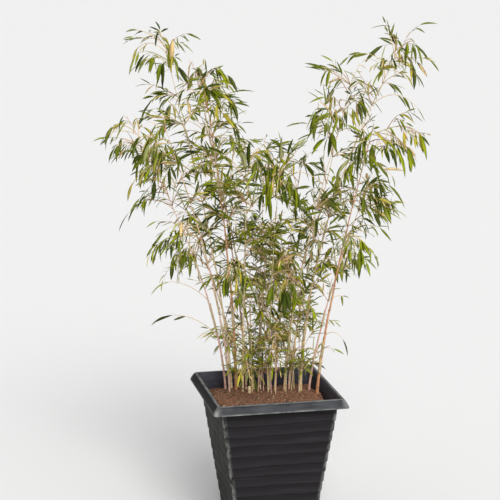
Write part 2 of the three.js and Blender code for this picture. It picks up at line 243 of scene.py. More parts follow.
# A seeded stream of numbers from 0 to 1, the same as the plain solids'
def randomStream(seed):
    state = [seed & 0xFFFFFFFF]

    def draw():
        state[0] = (state[0] + 0x6D2B79F5) & 0xFFFFFFFF
        s = state[0]
        mix = ((s ^ (s >> 15)) * (s | 1)) & 0xFFFFFFFF
        mix ^= (mix + (mix ^ (mix >> 7)) * (mix | 61)) & 0xFFFFFFFF
        return (mix ^ (mix >> 14)) / 4294967296

    return draw


# Spray stems, each with its own space

def skinAt(radius, along, out):
    low = np.array((0.0, 1.0, 0.0))
    low = unit(low - along * float(low @ along))
    turn = math.atan2(float(out @ cross(along, low)), float(out @ low))
    half = math.pi / clump["plainSides"]
    off = turn % (2 * half) - half
    room = branching["stemTipRadius"] * abs(math.tan(off))
    return min(radius, radius * math.cos(half) / math.cos(off) + room)


def planSprays():
    sprays = []
    rise = math.radians(branching["stemRise"])
    for name, cane in canes.items():
        whole = caneLine(cane)
        length = lengthOf(pointsOn(whole, branching["lengthPieces"]))
        low = cane["enters"] + clump["gap"] / length
        plain = chainOf(caneLine(cane, 0, cane["enters"]), clump["plainRings"])[1]
        stem = caneLine(cane, low, branching["stemEnd"])
        points, chain = chainOf(stem, branching["stemPieces"])
        sprays.append(dict(branching["tip"], node=f"leaves_{name}_tip", line=stem,
                           chain=chain, points=points, kind="tip",
                           radius=min(caneRadius(cane, cane["enters"]), branching["stemRadius"])))
        for i, (height, degrees, reach) in enumerate(cane["sides"]):
            along = tangentOf(whole, height)
            out = level(degrees)
            out = unit(out - along * float(out @ along))
            climb = out * math.cos(rise) + along * math.sin(rise)
            stand = skinAt(caneRadius(cane, height), along, out) + clump["gap"]
            stand += branching["stemTipRadius"] * math.sin(rise)
            start = plain(height / cane["enters"]) + out * stand
            middle = start + climb * (reach * branching["stemBend"])
            end = start + climb * reach + out * (reach * branching["stemLean"])
            end -= upBy(reach * branching["stemSag"])
            stem = bendLine(start, middle, end)
            points, chain = chainOf(stem, branching["stemPieces"])
            kind = "low" if height < branching["lowBelow"] else "side"
            sprays.append(dict(branching[kind], node=f"leaves_{name}_side_{i + 1}", line=stem,
                               on=whole(height), chain=chain, points=points, kind=kind,
                               radius=branching["stemTipRadius"]))
    return sprays


def segmentsOf(lines):
    starts = np.array([a for points in lines for a in points[:-1]])
    ends = np.array([b for points in lines for b in points[1:]])
    firsts = np.cumsum([0] + [len(points) - 1 for points in lines[:-1]])
    return starts, ends - starts, firsts


def nearestOf(places, starts, spans, firsts):
    offset = places[:, None, :] - starts[None]
    share = np.clip((offset * spans).sum(2) / (spans * spans).sum(1), 0, 1)
    away = np.linalg.norm(offset - share[..., None] * spans, axis=2)
    return np.minimum.reduceat(away, firsts, axis=1)


def spaceKeeper(sprays):
    caneSegments = segmentsOf([pointsOn(caneLine(cane, 0, cane["enters"]), branching["canePieces"])
                               for cane in canes.values()])
    caneRadii = np.array([cane["girth"] / 2 for cane in canes.values()])
    stemSegments = segmentsOf([spray["points"] for spray in sprays])

    def fits(own, places, reaches):
        if np.any(places[:, 2] < pot["height"] + reaches + branching["rimClearance"]):
            return False
        toCanes = nearestOf(places, *caneSegments)
        if np.any(toCanes < caneRadii + reaches[:, None] + branching["clearance"]):
            return False
        toStems = nearestOf(places, *stemSegments)
        limit = toStems[:, own] + 2 * reaches + branching["clearance"]
        toStems[:, own] = np.inf
        return bool(np.all(toStems > limit[:, None]))

    return fits


# The plain solids' twigs and leaves, drawn again by their own rule

def aimLeaf(pointAt, share, turn, spray, draw):
    along = tangentOf(pointAt, share)
    along = turnAbout(along, unitAcross(along, math.pi / 2), turn)
    along[2] -= between(plainLeaf["hang"], draw())
    along = unit(along)
    across = unitAcross(along, (draw() - 0.5) * plainLeaf["roll"])
    return {"root": pointAt(share), "along": along, "across": across, "up": cross(along, across),
            "length": plainLeaf["length"] * spray["leafScale"] * between(plainLeaf["spread"], draw()),
            "width": plainLeaf["width"] * math.sqrt(spray["leafScale"])}


def leafPlaces(leaf):
    shares = np.array(plainLeaf["checkedAt"])
    past = np.maximum(0, (shares - plainLeaf["shoulder"]) / (1 - plainLeaf["shoulder"]))
    width = np.minimum(shares / plainLeaf["shoulder"], 1 - past)
    places = (leaf["root"] + leaf["along"] * (shares * leaf["length"])[:, None]
              - leaf["up"] * (plainLeaf["droop"] * leaf["length"] * past)[:, None])
    return places, plainLeaf["margin"] + width * leaf["width"] / 2


def growLeafy(pointAt, length, asideLeaves, spray, draw, mayGrow):
    endLeaf = aimLeaf(pointAt, 1, 0, spray, draw)
    if not mayGrow(*leafPlaces(endLeaf)):
        return []
    spray["taken"].append(leafPlaces(endLeaf))
    grown = [dict(endLeaf, share=1)]
    for i in range(asideLeaves):
        for attempt in range(branching["leafTries"]):
            turn = sideTurn(i, plainLeaf["turn"], draw)
            share = 1 - (plainLeaf["firstGap"] + i * plainLeaf["spacing"]) / length
            leaf = aimLeaf(pointAt, share, turn, spray, draw)
            if mayGrow(*leafPlaces(leaf)):
                spray["taken"].append(leafPlaces(leaf))
                grown.append(dict(leaf, share=share))
                break
    return grown


def growSpray(spray, own, fits):
    draw = randomStream(clump["firstSeed"] + clump["seedStep"] * own)
    spray["taken"] = []

    def mayGrow(places, reaches):
        if not fits(own, places, reaches):
            return False
        for other, otherReaches in spray["taken"]:
            away = np.linalg.norm(places[:, None] - other[None], axis=2)
            if np.any(away <= reaches[:, None] + otherReaches):
                return False
        return True

    spray["stemLeaves"] = []
    for attempt in range(branching["stemTries"]):
        spray["stemLeaves"] = growLeafy(spray["chain"], lengthOf(spray["points"]),
                                        branching["stemAsideLeaves"], spray, draw, mayGrow)
        if spray["stemLeaves"]:
            break
    spray["branches"] = []
    golden = math.radians(branching["goldenAngle"])
    for i in range(spray["twigs"]):
        for attempt in range(branching["twigTries"]):
            share = between((branching["twigsFrom"], branching["twigsTo"]), (i + draw()) / spray["twigs"])
            along = tangentOf(spray["chain"], share)
            angle = i * golden + attempt * branching["nextTry"] + draw() * branching["twigScatter"]
            heading = unit(along * branching["twigForward"] + unitAcross(along, angle))
            length = spray["twigLength"] * (branching["twigLongest"] - branching["twigShorter"] * share)
            length *= between(branching["twigSpread"], draw())
            start = spray["chain"](share)
            span = heading * length
            places = np.array([start + span * at for at in branching["checkedAt"]])
            reaches = np.full(len(places), branching["twigRadius"])
            if not mayGrow(places, reaches):
                continue
            grown = growLeafy(lambda at: start + span * at, length, branching["asideLeaves"], spray, draw,
                              mayGrow)
            if grown:
                spray["taken"].append((places, reaches))
                spray["branches"].append({"share": share, "start": start, "span": span, "leaves": grown})
                break


# Meshes. All points come in the clump's frame or the pot's, in millimetres.

def turned(points, degrees=clump["turn"]):
    c, s = math.cos(math.radians(degrees)), math.sin(math.radians(degrees))
    points = np.asarray(points, float)
    return np.stack((points[..., 0] * c - points[..., 1] * s,
                     points[..., 0] * s + points[..., 1] * c, points[..., 2]), axis=-1)


def makePiece(name, points, faces, materials, replaced=(), faceSlots=None, smooth=True):
    mesh = bpy.data.meshes.new(name)
    mesh.from_pydata((np.asarray(points) * mm).tolist(), [], faces)
    mesh.validate()
    mesh.update()
    for material in materials:
        mesh.materials.append(material)
    if faceSlots is not None:
        mesh.polygons.foreach_set("material_index", np.asarray(faceSlots, np.int32))
    mesh.polygons.foreach_set("use_smooth", np.full(len(mesh.polygons), smooth))
    piece = bpy.data.objects.new(name, mesh)
    bpy.context.scene.collection.objects.link(piece)
    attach(piece, "root")
    if replaced:
        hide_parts(*replaced)
    return piece


def ringFaces(rings, sides, start=0):
    faces = []
    for r in range(rings - 1):
        a, b = start + r * sides, start + (r + 1) * sides
        for s in range(sides):
            n = (s + 1) % sides
            faces.append((a + s, a + n, b + n, b + s))
    return faces


def tubeOf(points, radii, sides, start=0):
    points = np.asarray(points, float)
    tangents = np.gradient(points, axis=0)
    tangents /= np.linalg.norm(tangents, axis=1)[:, None]
    guide = np.array((0.0, 1.0, 0.0)) if abs(tangents[0][1]) < 0.9 else np.array((1.0, 0.0, 0.0))
    low = np.cross(tangents, np.cross(guide, tangents))
    low /= np.linalg.norm(low, axis=1)[:, None]
    side = np.cross(tangents, low)
    angles = np.arange(sides) * 2 * math.pi / sides
    ring = low[:, None] * np.cos(angles)[None, :, None] + side[:, None] * np.sin(angles)[None, :, None]
    verts = (points[:, None] + ring * np.asarray(radii, float)[:, None, None]).reshape(-1, 3)
    rings = len(points)
    faces = ringFaces(rings, sides, start)
    faces.append(tuple(start + s for s in range(sides))[::-1])
    faces.append(tuple(start + (rings - 1) * sides + s for s in range(sides)))
    return verts, faces


class Heap:
    def __init__(self):
        self.points = []
        self.faces = []
        self.slots = []
        self.count = 0

    def add(self, points, faces, faceSlots=None):
        self.points.append(np.asarray(points, float))
        self.faces.extend(faces)
        self.slots.extend(faceSlots or [0] * len(faces))
        self.count += len(points)

    def addTube(self, points, radii, sides, faceSlots=None):
        verts, faces = tubeOf(points, radii, sides, self.count)
        self.add(verts, faces, faceSlots)

    def joined(self):
        return np.concatenate(self.points)


# Materials

class Surface:
    def __init__(self, name, roughness, specular):
        self.material = bpy.data.materials.new(name)
        self.material.use_nodes = True
        self.nodes = self.material.node_tree.nodes
        self.sockets = self.nodes["Principled BSDF"].inputs
        self.put(roughness, self.sockets["Roughness"])
        self.put(specular, self.sockets["Specular IOR Level"])

    def put(self, value, socket):
        if isinstance(value, bpy.types.NodeSocket):
            self.material.node_tree.links.new(value, socket)
        elif socket.type == "RGBA":
            socket.default_value = (*value, 1)
        else:
            socket.default_value = value

    def place(self):
        return self.nodes.new("ShaderNodeTexCoord").outputs["Object"]

    def noise(self, scale, detail, stretch=None):
        place = self.place()
        if stretch:
            mapping = self.nodes.new("ShaderNodeMapping")
            self.put(stretch, mapping.inputs["Scale"])
            self.put(place, mapping.inputs["Vector"])
            place = mapping.outputs["Vector"]
        texture = self.nodes.new("ShaderNodeTexNoise")
        self.put(scale, texture.inputs["Scale"])
        self.put(detail, texture.inputs["Detail"])
        self.put(place, texture.inputs["Vector"])
        return texture.outputs["Fac"]

    def ramp(self, source, *stops):
        ramp = self.nodes.new("ShaderNodeValToRGB")
        while len(ramp.color_ramp.elements) < len(stops):
            ramp.color_ramp.elements.new(0.5)
        for element, (at, color) in zip(ramp.color_ramp.elements, stops):
            element.position = at
            element.color = (*color, 1)
        self.put(source, ramp.inputs["Fac"])
        return ramp.outputs["Color"]

    def calc(self, operation, *values):
        node = self.nodes.new("ShaderNodeMath")
        node.operation = operation
        for value, socket in zip(values, node.inputs):
            self.put(value, socket)
        return node.outputs[0]

    def mix(self, factor, first, second):
        node = self.nodes.new("ShaderNodeMix")
        node.data_type = "RGBA"
        self.put(factor, node.inputs["Factor"])
        ends = {socket.name: socket for socket in node.inputs if socket.type == "RGBA"}
        self.put(first, ends["A"])
        self.put(second, ends["B"])
        return [socket for socket in node.outputs if socket.type == "RGBA"][0]

    def span(self, source, low, high, to=(0.0, 1.0)):
        node = self.nodes.new("ShaderNodeMapRange")
        for name, value in zip(("From Min", "From Max", "To Min", "To Max"), (low, high, *to)):
            self.put(value, node.inputs[name])
        self.put(source, node.inputs["Value"])
        return node.outputs[0]

    def bump(self, source, strength, depth):
        node = self.nodes.new("ShaderNodeBump")
        self.put(strength, node.inputs["Strength"])
        self.put(depth, node.inputs["Distance"])
        self.put(source, node.inputs["Height"])
        self.put(node.outputs["Normal"], self.sockets["Normal"])

    def tint(self, color):
        self.put(color, self.sockets["Base Color"])


def shaded(color, factor):
    return tuple(min(1, channel * factor) for channel in color)


# Finishes of all but the pot. A tone is a noise: its scale, detail and stretch. It runs between
# two shades of a colour. A bump follows the tone, or a finer noise of its own.
finishes = {
    "leaf": dict(roughness=0.55, specular=0.13, tone=(60, 2), shades=(0.82, 1.18), finer=(900, 2),
                 bump=(0.12, 0.0004)),
    "twig": dict(roughness=0.6, specular=0.25, tone=(90, 2), shades=(0.75, 1.2)),
    "cane": dict(roughness=0.42, specular=0.35, tone=(1, 4, (700, 700, 16)), bump=(0.2, 0.0003)),
    "ring": dict(roughness=0.6, specular=0.3, tone=(300, 3)),
    "sheath": dict(roughness=0.65, specular=0.3, tone=(1, 4, (500, 500, 30)), bump=(0.3, 0.0003)),
    "soil": dict(roughness=0.92, specular=0.2, tone=(260, 6), bump=(0.9, 0.002)),
    "crumb": dict(roughness=0.9, specular=0.2, tone=(500, 3), shades=(0.7, 1.3)),
}


def tonedMaterial(kind, name, *stops):
    finish = finishes[kind]
    surface = Surface(name, finish["roughness"], finish["specular"])
    tone = surface.noise(*finish["tone"])
    surface.tint(surface.ramp(tone, *stops))
    if "bump" in finish:
        surface.bump(surface.noise(*finish["finer"]) if "finer" in finish else tone, *finish["bump"])
    return surface.material


def shadedMaterial(kind, name, color):
    dark, light = (shaded(color, factor) for factor in finishes[kind]["shades"])
    return tonedMaterial(kind, f"{kind}_{name}", (0.3, dark), (0.7, light))


# Leaf and twig tints: plain base colours, dealt out by fan. Low sprays and sunny ones are dealt
# other shares.
leafTints = {
    "bright": dict(color=(0.25, 0.30, 0.006), under=(0.32, 0.35, 0.035), share=0.22, low=0.34, sun=0.30),
    "mid": dict(color=(0.125, 0.16, 0.006), under=(0.20, 0.235, 0.03), share=0.32, low=0.2, sun=0.22),
    "deep": dict(color=(0.050, 0.072, 0.005), under=(0.095, 0.12, 0.02), share=0.26, low=0.07, sun=0.12),
    "grey": dict(color=(0.24, 0.26, 0.085), under=(0.38, 0.39, 0.17), share=0.09, low=0.22, sun=0.05),
    "yellow": dict(color=(0.46, 0.39, 0.04), under=(0.53, 0.46, 0.10), share=0.06, low=0.11, sun=0.20),
    "straw": dict(color=(0.70, 0.50, 0.22), under=(0.76, 0.58, 0.30), share=0.05, low=0.09, sun=0.11),
}
twigTints = {
    "tan": dict(color=(0.58, 0.35, 0.20), share=0.36),
    "straw": dict(color=(0.74, 0.54, 0.26), share=0.38),
    "green": dict(color=(0.40, 0.37, 0.11), share=0.16),
    "brown": dict(color=(0.27, 0.15, 0.09), share=0.10),
}
caneSkins = {
    "pink": dict(base=(0.58, 0.33, 0.26), pale=(0.86, 0.66, 0.57), node=(0.22, 0.11, 0.07)),
    "straw": dict(base=(0.60, 0.44, 0.23), pale=(0.88, 0.76, 0.54), node=(0.26, 0.15, 0.08)),
    "russet": dict(base=(0.47, 0.21, 0.10), pale=(0.74, 0.44, 0.24), node=(0.18, 0.08, 0.04)),
    "olive": dict(base=(0.35, 0.31, 0.09), pale=(0.62, 0.56, 0.27), node=(0.20, 0.13, 0.06)),
}


def dealer(tints, draw, part="share"):
    names = list(tints)
    edges = np.cumsum([tints[name][part] for name in names])
    return lambda: names[int(np.searchsorted(edges, draw() * edges[-1]))]


# Canes: ringed at their nodes, with papery sheaths
caneForm = {
    "sides": 10,
    "shootSides": 6,
    "seed": 500,
    "lengthPieces": 50,
    "firstNode": (8, 18),
    "lastNode": 0.985,  # share of the length
    "lowInternode": 26,
    "longInternode": 62,
    "tipInternode": 38,
    "internodeSpread": (0.8, 1.2),
    "longBetween": (0.18, 0.7),  # the stretch of the cane with long internodes
    "ringWidth": 1.1,
    # a ring's stations: ring widths from the node, girth, and 1 where its dark skin runs
    "ring": ((-1.6, 0.99, 0), (-0.5, 1.16, 1), (0.2, 1.096, 1), (0.7, 0.96, 1), (1.8, 1.0, 0)),
    "waist": 0.985,
    "waistAt": (0.2, 0.5, 0.8),
    "top": (0.995, 0.7),
    "zigzag": 0.9,
    "zigzagGain": 3,  # it's full from a third of the height up
    "slimmer": (0.87, 0.26),  # a cane's girth at its foot and tip, as shares of the plain solid's
    "slimBend": 0.8,  # below 1, it slims sooner
    "sunk": 4,
    "footGirth": 0.98,
    "skinShades": (0.85, 1.1),
    "ringShade": 0.8,
}
sheathForm = {
    "share": 0.45,
    "from": 0.05,
    "cover": (0.45, 0.85),  # share of the internode
    "pieces": 5,
    "sides": 8,
    "fit": 1.02,
    "loose": (0.25, 0.6),
    "point": (9, 17),
    "opens": 0.8,
    "highest": 0.99,
    "paper": ((0.36, 0.25, 0.13), (0.68, 0.56, 0.36)),
}
stub = {
    "at": (-38, 8),
    "girth": 7,
    "sides": 12,
    # height above the soil, and girth there; the highest is the sawn end
    "rings": ((-3, 1), (3, 1), (7, 0.96), (8, 1.12), (9, 0.95), (13.2, 0.92), (14, 0.84)),
}


def caneNodes(cane, draw):
    length = lengthOf(pointsOn(caneLine(cane), caneForm["lengthPieces"]))
    at, nodes = between(caneForm["firstNode"], draw()), []
    first, last = caneForm["longBetween"]
    while at < length * caneForm["lastNode"]:
        t = at / length
        nodes.append(t)
        long = caneForm["longInternode"] * between(caneForm["internodeSpread"], draw())
        step = between((caneForm["lowInternode"], long), min(1, t / first))
        at += between((step, caneForm["tipInternode"]), max(0, (t - last) / (1 - last)))
    return nodes, length


def slimRadius(cane, t):
    return caneRadius(cane, t) * between(caneForm["slimmer"], t ** caneForm["slimBend"])


def visualCane(cane, nodes, length):
    whole = caneLine(cane)
    top, taper = caneForm["top"]
    stations = [(-caneForm["sunk"] / length, caneForm["footGirth"], 0)]
    ring = caneForm["ringWidth"] / length
    edges = [0] + nodes + [top]
    for n, (low, high) in enumerate(zip(edges, edges[1:])):
        if n:
            stations += [(low + away * ring, girth, dark) for away, girth, dark in caneForm["ring"]]
        stations += [(between((low, high), at), caneForm["waist"], 0) for at in caneForm["waistAt"]]
    stations.append((top, taper, 0))
    points, radii = [], []
    for t, girth, dark in stations:
        point = whole(min(max(t, 0), 1))
        if t < 0:
            point[2] -= caneForm["sunk"]
        passed = sum(1 for node in nodes if node < t)
        swing = min(1, max(t, 0) * caneForm["zigzagGain"])
        point[0] += caneForm["zigzag"] * (passed % 2 - 0.5) * swing
        points.append(point)
        radii.append(slimRadius(cane, max(t, 0)) * girth)
    return points, radii, [dark for t, girth, dark in stations]


def addCane(heap, cane, nodes, length, sides, firstSlot=0):
    points, radii, dark = visualCane(cane, nodes, length)
    bands = [firstSlot + int(low and high) for low, high in zip(dark, dark[1:])]
    heap.addTube(points, radii, sides, [slot for slot in bands for s in range(sides)] + [firstSlot] * 2)


def addSheaths(heap, cane, nodes, draw):
    whole = caneLine(cane)
    pieces, sides = sheathForm["pieces"], sheathForm["sides"]
    for t, following in zip(nodes, nodes[1:] + [1]):
        if draw() > sheathForm["share"] or t < sheathForm["from"]:
            continue
        cover = (following - t) * between(sheathForm["cover"], draw())
        points = [whole(t + cover * k / pieces) for k in range(pieces + 1)]
        base = slimRadius(cane, t) * sheathForm["fit"]
        radii = [base + between(sheathForm["loose"], k / pieces) for k in range(pieces + 1)]
        verts, faces = tubeOf(points, radii, sides, heap.count)
        # the upper edge runs out into a point on one side
        lean = unitAcross(tangentOf(whole, t), draw() * fullTurn)
        reach = np.maximum((verts[-sides:] - points[-1]) @ lean / radii[-1], 0)[:, None] ** 2
        along = tangentOf(whole, min(t + cover, sheathForm["highest"]))
        verts[-sides:] += reach * (along * between(sheathForm["point"], draw()) + lean * sheathForm["opens"])
        heap.add(verts, faces)


def planShoots():
    draw = randomStream(shoots["seed"])
    feet = [np.array(cane["foot"], float) for cane in canes.values()]
    made = []
    while len(made) < shoots["count"]:
        foot = np.array((between(shoots["across"], draw()), between(shoots["away"], draw())))
        if min(np.linalg.norm(foot - other) for other in feet) < shoots["apart"]:
            continue
        feet.append(foot)
        lean = between(shoots["lean"], draw())
        aside, back = (draw() - 0.5) * 2 * shoots["scatter"], (draw() - 0.5) * 4 * shoots["scatter"]
        made.append(dict(foot=tuple(foot), arch=shoots["arch"],
                         tip=(foot[0] * lean + aside, foot[1] + back, between(shoots["tops"], draw())),
                         girth=between(shoots["girths"], draw()), skin=shoots["skins"][int(draw() * 2)]))
    return made


def buildStub(skin):
    heap = Heap()
    points = [(*stub["at"], clump["footZ"] + up) for up, girth in stub["rings"]]
    heap.addTube(points, [stub["girth"] / 2 * girth for up, girth in stub["rings"]], stub["sides"])
    makePiece("cane_cut_stub_split", turned(heap.joined()), heap.faces, [skin], ["cane_cut_stub"])


def buildCanes(sheaths):
    ringed, skins = {}, {}
    dull, fresh = caneForm["skinShades"]
    for name, skin in caneSkins.items():
        base = skin["base"]
        ringed[name] = tonedMaterial("ring", f"ring_{name}", (0.3, skin["node"]),
                                     (0.7, shaded(base, caneForm["ringShade"])))
        skins[name] = tonedMaterial("cane", f"cane_{name}", (0.25, shaded(base, dull)),
                                    (0.45, shaded(base, fresh)), (0.7, skin["pale"]))
    dealt = []
    for n, (name, cane) in enumerate(canes.items()):
        draw = randomStream(caneForm["seed"] + n)
        nodes, length = caneNodes(cane, draw)
        dealt.append((cane, nodes))
        heap = Heap()
        addCane(heap, cane, nodes, length, caneForm["sides"])
        makePiece(f"cane_{name}_ringed", turned(heap.joined()), heap.faces,
                  [skins[cane["skin"]], ringed[cane["skin"]]], [f"cane_{name}"], heap.slots)
        addSheaths(sheaths, cane, nodes, draw)
    heap = Heap()
    looks = [look for name in caneSkins for look in (skins[name], ringed[name])]
    for n, shoot in enumerate(planShoots()):
        draw = randomStream(shoots["nodeSeed"] + n)
        nodes, length = caneNodes(shoot, draw)
        dealt.append((shoot, nodes))
        addCane(heap, shoot, nodes, length, caneForm["shootSides"], 2 * list(caneSkins).index(shoot["skin"]))
        addSheaths(sheaths, shoot, nodes, draw)
    makePiece("cane_young_shoots", turned(heap.joined()), heap.faces, looks, faceSlots=heap.slots)
    buildStub(skins["straw"])
    print("canes made:", len(dealt))
    return dealt


def buildSheaths(sheaths):
    dark, light = sheathForm["paper"]
    dry = tonedMaterial("sheath", "sheath", (0.25, dark), (0.75, light))
    makePiece("cane_sheaths", turned(sheaths.joined()), sheaths.faces, [dry])


# Leaves: folded blades of thirty-two triangles, each with its own bend and twist
leafForm = {
    "slender": (0.115, 0.17),  # width for its length
    "fold": 0.3,
    "bend": (0.04, 0.34),
    "twist": 0.9,
    "roll": 2.6,
    "thick": (0.3, 0.5),  # at the ends and at the middle
    # how far along the blade, and how wide it is there
    "outline": ((0.0, 0.0), (0.08, 0.36), (0.26, 0.9), (0.5, 1.0), (0.76, 0.66), (1.0, 0.0)),
}


def leafMesh(leaves):
    root, along, across, length, width, bend, twist = (
        np.array([leaf[key] for leaf in leaves])
        for key in ("root", "along", "across", "length", "width", "bend", "twist"))
    down = np.array((0.0, 0.0, -1.0)) + 0 * along
    down -= along * (down * along).sum(1)[:, None]
    down /= np.maximum(np.linalg.norm(down, axis=1), 1e-6)[:, None]
    rows = []
    for at, wide in leafForm["outline"]:
        middle = root + (along * at + down * (bend * at * at)[:, None]) * length[:, None]
        if wide == 0:
            rows.append(middle[:, None])
            continue
        tangent = along + down * (2 * bend * at)[:, None]
        tangent /= np.linalg.norm(tangent, axis=1)[:, None]
        side = across - tangent * (across * tangent).sum(1)[:, None]
        side /= np.linalg.norm(side, axis=1)[:, None]
        up = np.cross(tangent, side)
        angle = (twist * at)[:, None]
        side, up = side * np.cos(angle) + up * np.sin(angle), up * np.cos(angle) - side * np.sin(angle)
        half = (width * wide / 2)[:, None]
        edgeUp = up * half * leafForm["fold"]
        thick = up * between(leafForm["thick"], wide)
        rows.append(np.stack((middle + side * half + edgeUp, middle, middle - side * half + edgeUp,
                              middle - thick), axis=1))
    verts = np.concatenate(rows, axis=1)
    faces, slots = [], []
    around = 4  # a section's points: edge, fold, edge and back
    last = verts.shape[1] - 1 - around
    for s in range(around):
        n = (s + 1) % around
        faces.append((0, 1 + n, 1 + s))
        faces += [(a + s, a + n, a + around + n, a + around + s) for a in range(1, last, around)]
        faces.append((last + s, last + n, last + around))
        slots += [s // 2] * (len(faces) // (s + 1))
    return verts, faces, slots


def leafPiece(name, leaves, materials, replaced):
    verts, blade, slots = leafMesh(leaves)
    perLeaf = verts.shape[1]
    faces = [tuple(v + n * perLeaf for v in face) for n in range(len(leaves)) for face in blade]
    makePiece(name, turned(verts.reshape(-1, 3)), faces, materials, replaced, slots * len(leaves))


def newLeaf(root, along, length, draw, hang, slender=leafForm["slender"]):
    along = unit(along - upBy(hang))
    across = unitAcross(along, (draw() - 0.5) * leafForm["roll"])
    return {"root": root, "along": along, "across": across, "length": length,
            "width": length * between(slender, draw()),
            "bend": between(leafForm["bend"], draw()), "twist": (draw() - 0.5) * 2 * leafForm["twist"]}


def addTwig(twigs, line, radii, sides):
    twigs.append((pointsOn(line, len(radii) - 1), radii, sides))


# Spurs: the last short twiglets of fans and tufts
spurForm = {
    "from": (0.2, 0.8),
    "turn": (0.5, 1.1),
    "sag": 0.1,
    "radii": (0.42, 0.38, 0.3),
    "sides": 3,
    "leaves": 3.4,
    "spacing": 0.3,
    "leafTurn": (0.15, 0.75),
    "leafLength": (0.7, 1.2),
    "hang": 0.5,
}


def growSpur(line, along, length, draw, twigs, leaves):
    start = line(between(spurForm["from"], draw()))
    heading = turnAbout(along, unitAcross(along, draw() * fullTurn), between(spurForm["turn"], draw()))
    end = start + heading * length - upBy(spurForm["sag"] * length)
    spur = bendLine(start, start + heading * (length / 2), end)
    addTwig(twigs, spur, spurForm["radii"], spurForm["sides"])
    for k in range(int(spurForm["leaves"] * draw())):
        turn = sideTurn(k, spurForm["leafTurn"], draw)
        side = turnAbout(heading, unitAcross(heading, draw() * fullTurn), turn)
        blade = length * between(spurForm["leafLength"], draw())
        root = spur(1 - spurForm["spacing"] * k)
        leaves.append(newLeaf(root, side, blade, draw, spurForm["hang"] * draw()))


# Fans: a plain leaf becomes a fine twig with leaves to its right and left. Broad ones hang.
fanForm = {
    "broadShare": {"tip": 0.62, "side": 0.4, "low": 0.0},
    "broad": dict(stub=(0.14, 0.4), leaves=(1, 3), lengths=(0.5, 0.86), hang=(0.6, 2.4),
                  slender=(0.15, 0.22)),
    "fine": dict(stub=(0.4, 0.8), leaves=(2, 6), lengths=(0.3, 0.6), hang=(0.1, 1.1),
                 slender=(0.12, 0.175)),
    "endTurn": 0.3,
    "openAngle": (0.3, 0.95),
    "spacing": (0.16, 0.28),
    "lowest": 0.08,
    "shorter": 0.3,
    "endReach": (1.02, 0.9),  # an end leaf is at most this much of the reach, less this much stalk
    "bow": 0.1,
    "radii": (0.5, 0.45, 0.5, 0.3),
    "sides": 3,
    "branchRadii": (0.95, 0.8, 0.95, 0.7, 0.8, 0.5),
    "branchSides": 4,
    "branchLift": 0.07,
    "scatter": 1.1,
    "sag": 0.14,
    "spurShare": 0.5,
    "spurLength": (0.18, 0.4),
    "alongTwig": 0.25,  # a twig's fans leave it this share of its length apart
    "twigTint": 0.5,  # share of fans that take their twig's tint
    "ownTint": 0.5,  # share of leaves whose tint isn't their fan's
    # share of the fans that grow in thin sprays
    "sparse": {"leaves_far_left_side_2": 0.35, "leaves_left_front_side_1": 0.4,
               "leaves_right_front_side_1": 0.45},
    "sunny": ("leaves_far_right_tip", "leaves_right_back_tip", "leaves_far_right_side_2"),
    "seed": 9000,
}


def growFan(root, along, reach, kind, draw, twigs):
    leaves = []
    form = fanForm["broad" if draw() < fanForm["broadShare"][kind] else "fine"]
    along = unit(along)
    stalk = reach * between(form["stub"], draw())
    middle = root + along * (stalk / 2) + unitAcross(along, draw() * fullTurn) * (stalk * fanForm["bow"])
    line = bendLine(root, middle, root + along * stalk - upBy(fanForm["sag"] * stalk))
    addTwig(twigs, line, fanForm["radii"], fanForm["sides"])
    count = round(between(form["leaves"], draw()))
    ofReach, ofStalk = fanForm["endReach"]
    share = 1.0
    for k in range(count):
        turn = sideTurn(k, fanForm["openAngle"], draw) if k else (draw() - 0.5) * fanForm["endTurn"]
        axis = unitAcross(along, math.pi / 2 + (draw() - 0.5) * fanForm["scatter"])
        length = reach * between(form["lengths"], draw()) * (1 - fanForm["shorter"] * k / count)
        if k == 0:
            length = min(length, ofReach * reach - ofStalk * stalk)
        leaves.append(newLeaf(line(share), turnAbout(along, axis, turn), length, draw,
                              between(form["hang"], draw()), form["slender"]))
        share = max(share - between(fanForm["spacing"], draw()), fanForm["lowest"])
    if draw() < fanForm["spurShare"]:
        growSpur(line, along, reach * between(fanForm["spurLength"], draw()), draw, twigs, leaves)
    return leaves


# Nodes of the canes carry tufts: short leafy twigs, thick at some nodes and few at others
tuftForm = {
    "between": (0.055, 0.97),
    "mostTwigs": 6,
    "fewer": 1.5,  # the higher, the more nodes with few twigs
    "facing": 0.8,
    "spread": 3.6,
    "climb": (0.3, 1.5),
    "twigLength": (18, 74),
    "shorter": 1.3,  # the higher, the more short twigs
    "byHeight": (0.6, 1.1),  # a twig's length near the soil, and from two thirds up
    "heightGain": 1.5,
    "rooted": 0.8,  # share of the cane's radius
    "bend": (0.55, 0.1),  # a twig's middle, onwards and up the cane
    "radii": (0.75, 0.6, 0.75, 0.5, 0.4),
    "sides": 4,
    "sag": 0.12,
    "leaves": (2, 6),
    "leafLength": (20, 46),
    "leafByHeight": (0.66, 1.15),
    "leafSpread": (0.7, 1.15),
    "leafTurn": (0.2, 0.9),
    "endTurn": 0.2,
    "spacing": (0.12, 0.24),
    "lowest": 0.25,
    "hang": (0.05, 0.6),
    "lowBelow": 590,
    "fullBetween": (0.4, 0.85),  # the stretch of a full cane that carries more twigs
    "bareShare": 0.16,
    "spurShare": 0.5,
    "spurLength": (0.5, 1.0),
    "overPot": (8, 4),  # what twigs and leaves clear the pot's lip by
    "seed": 7000,
}


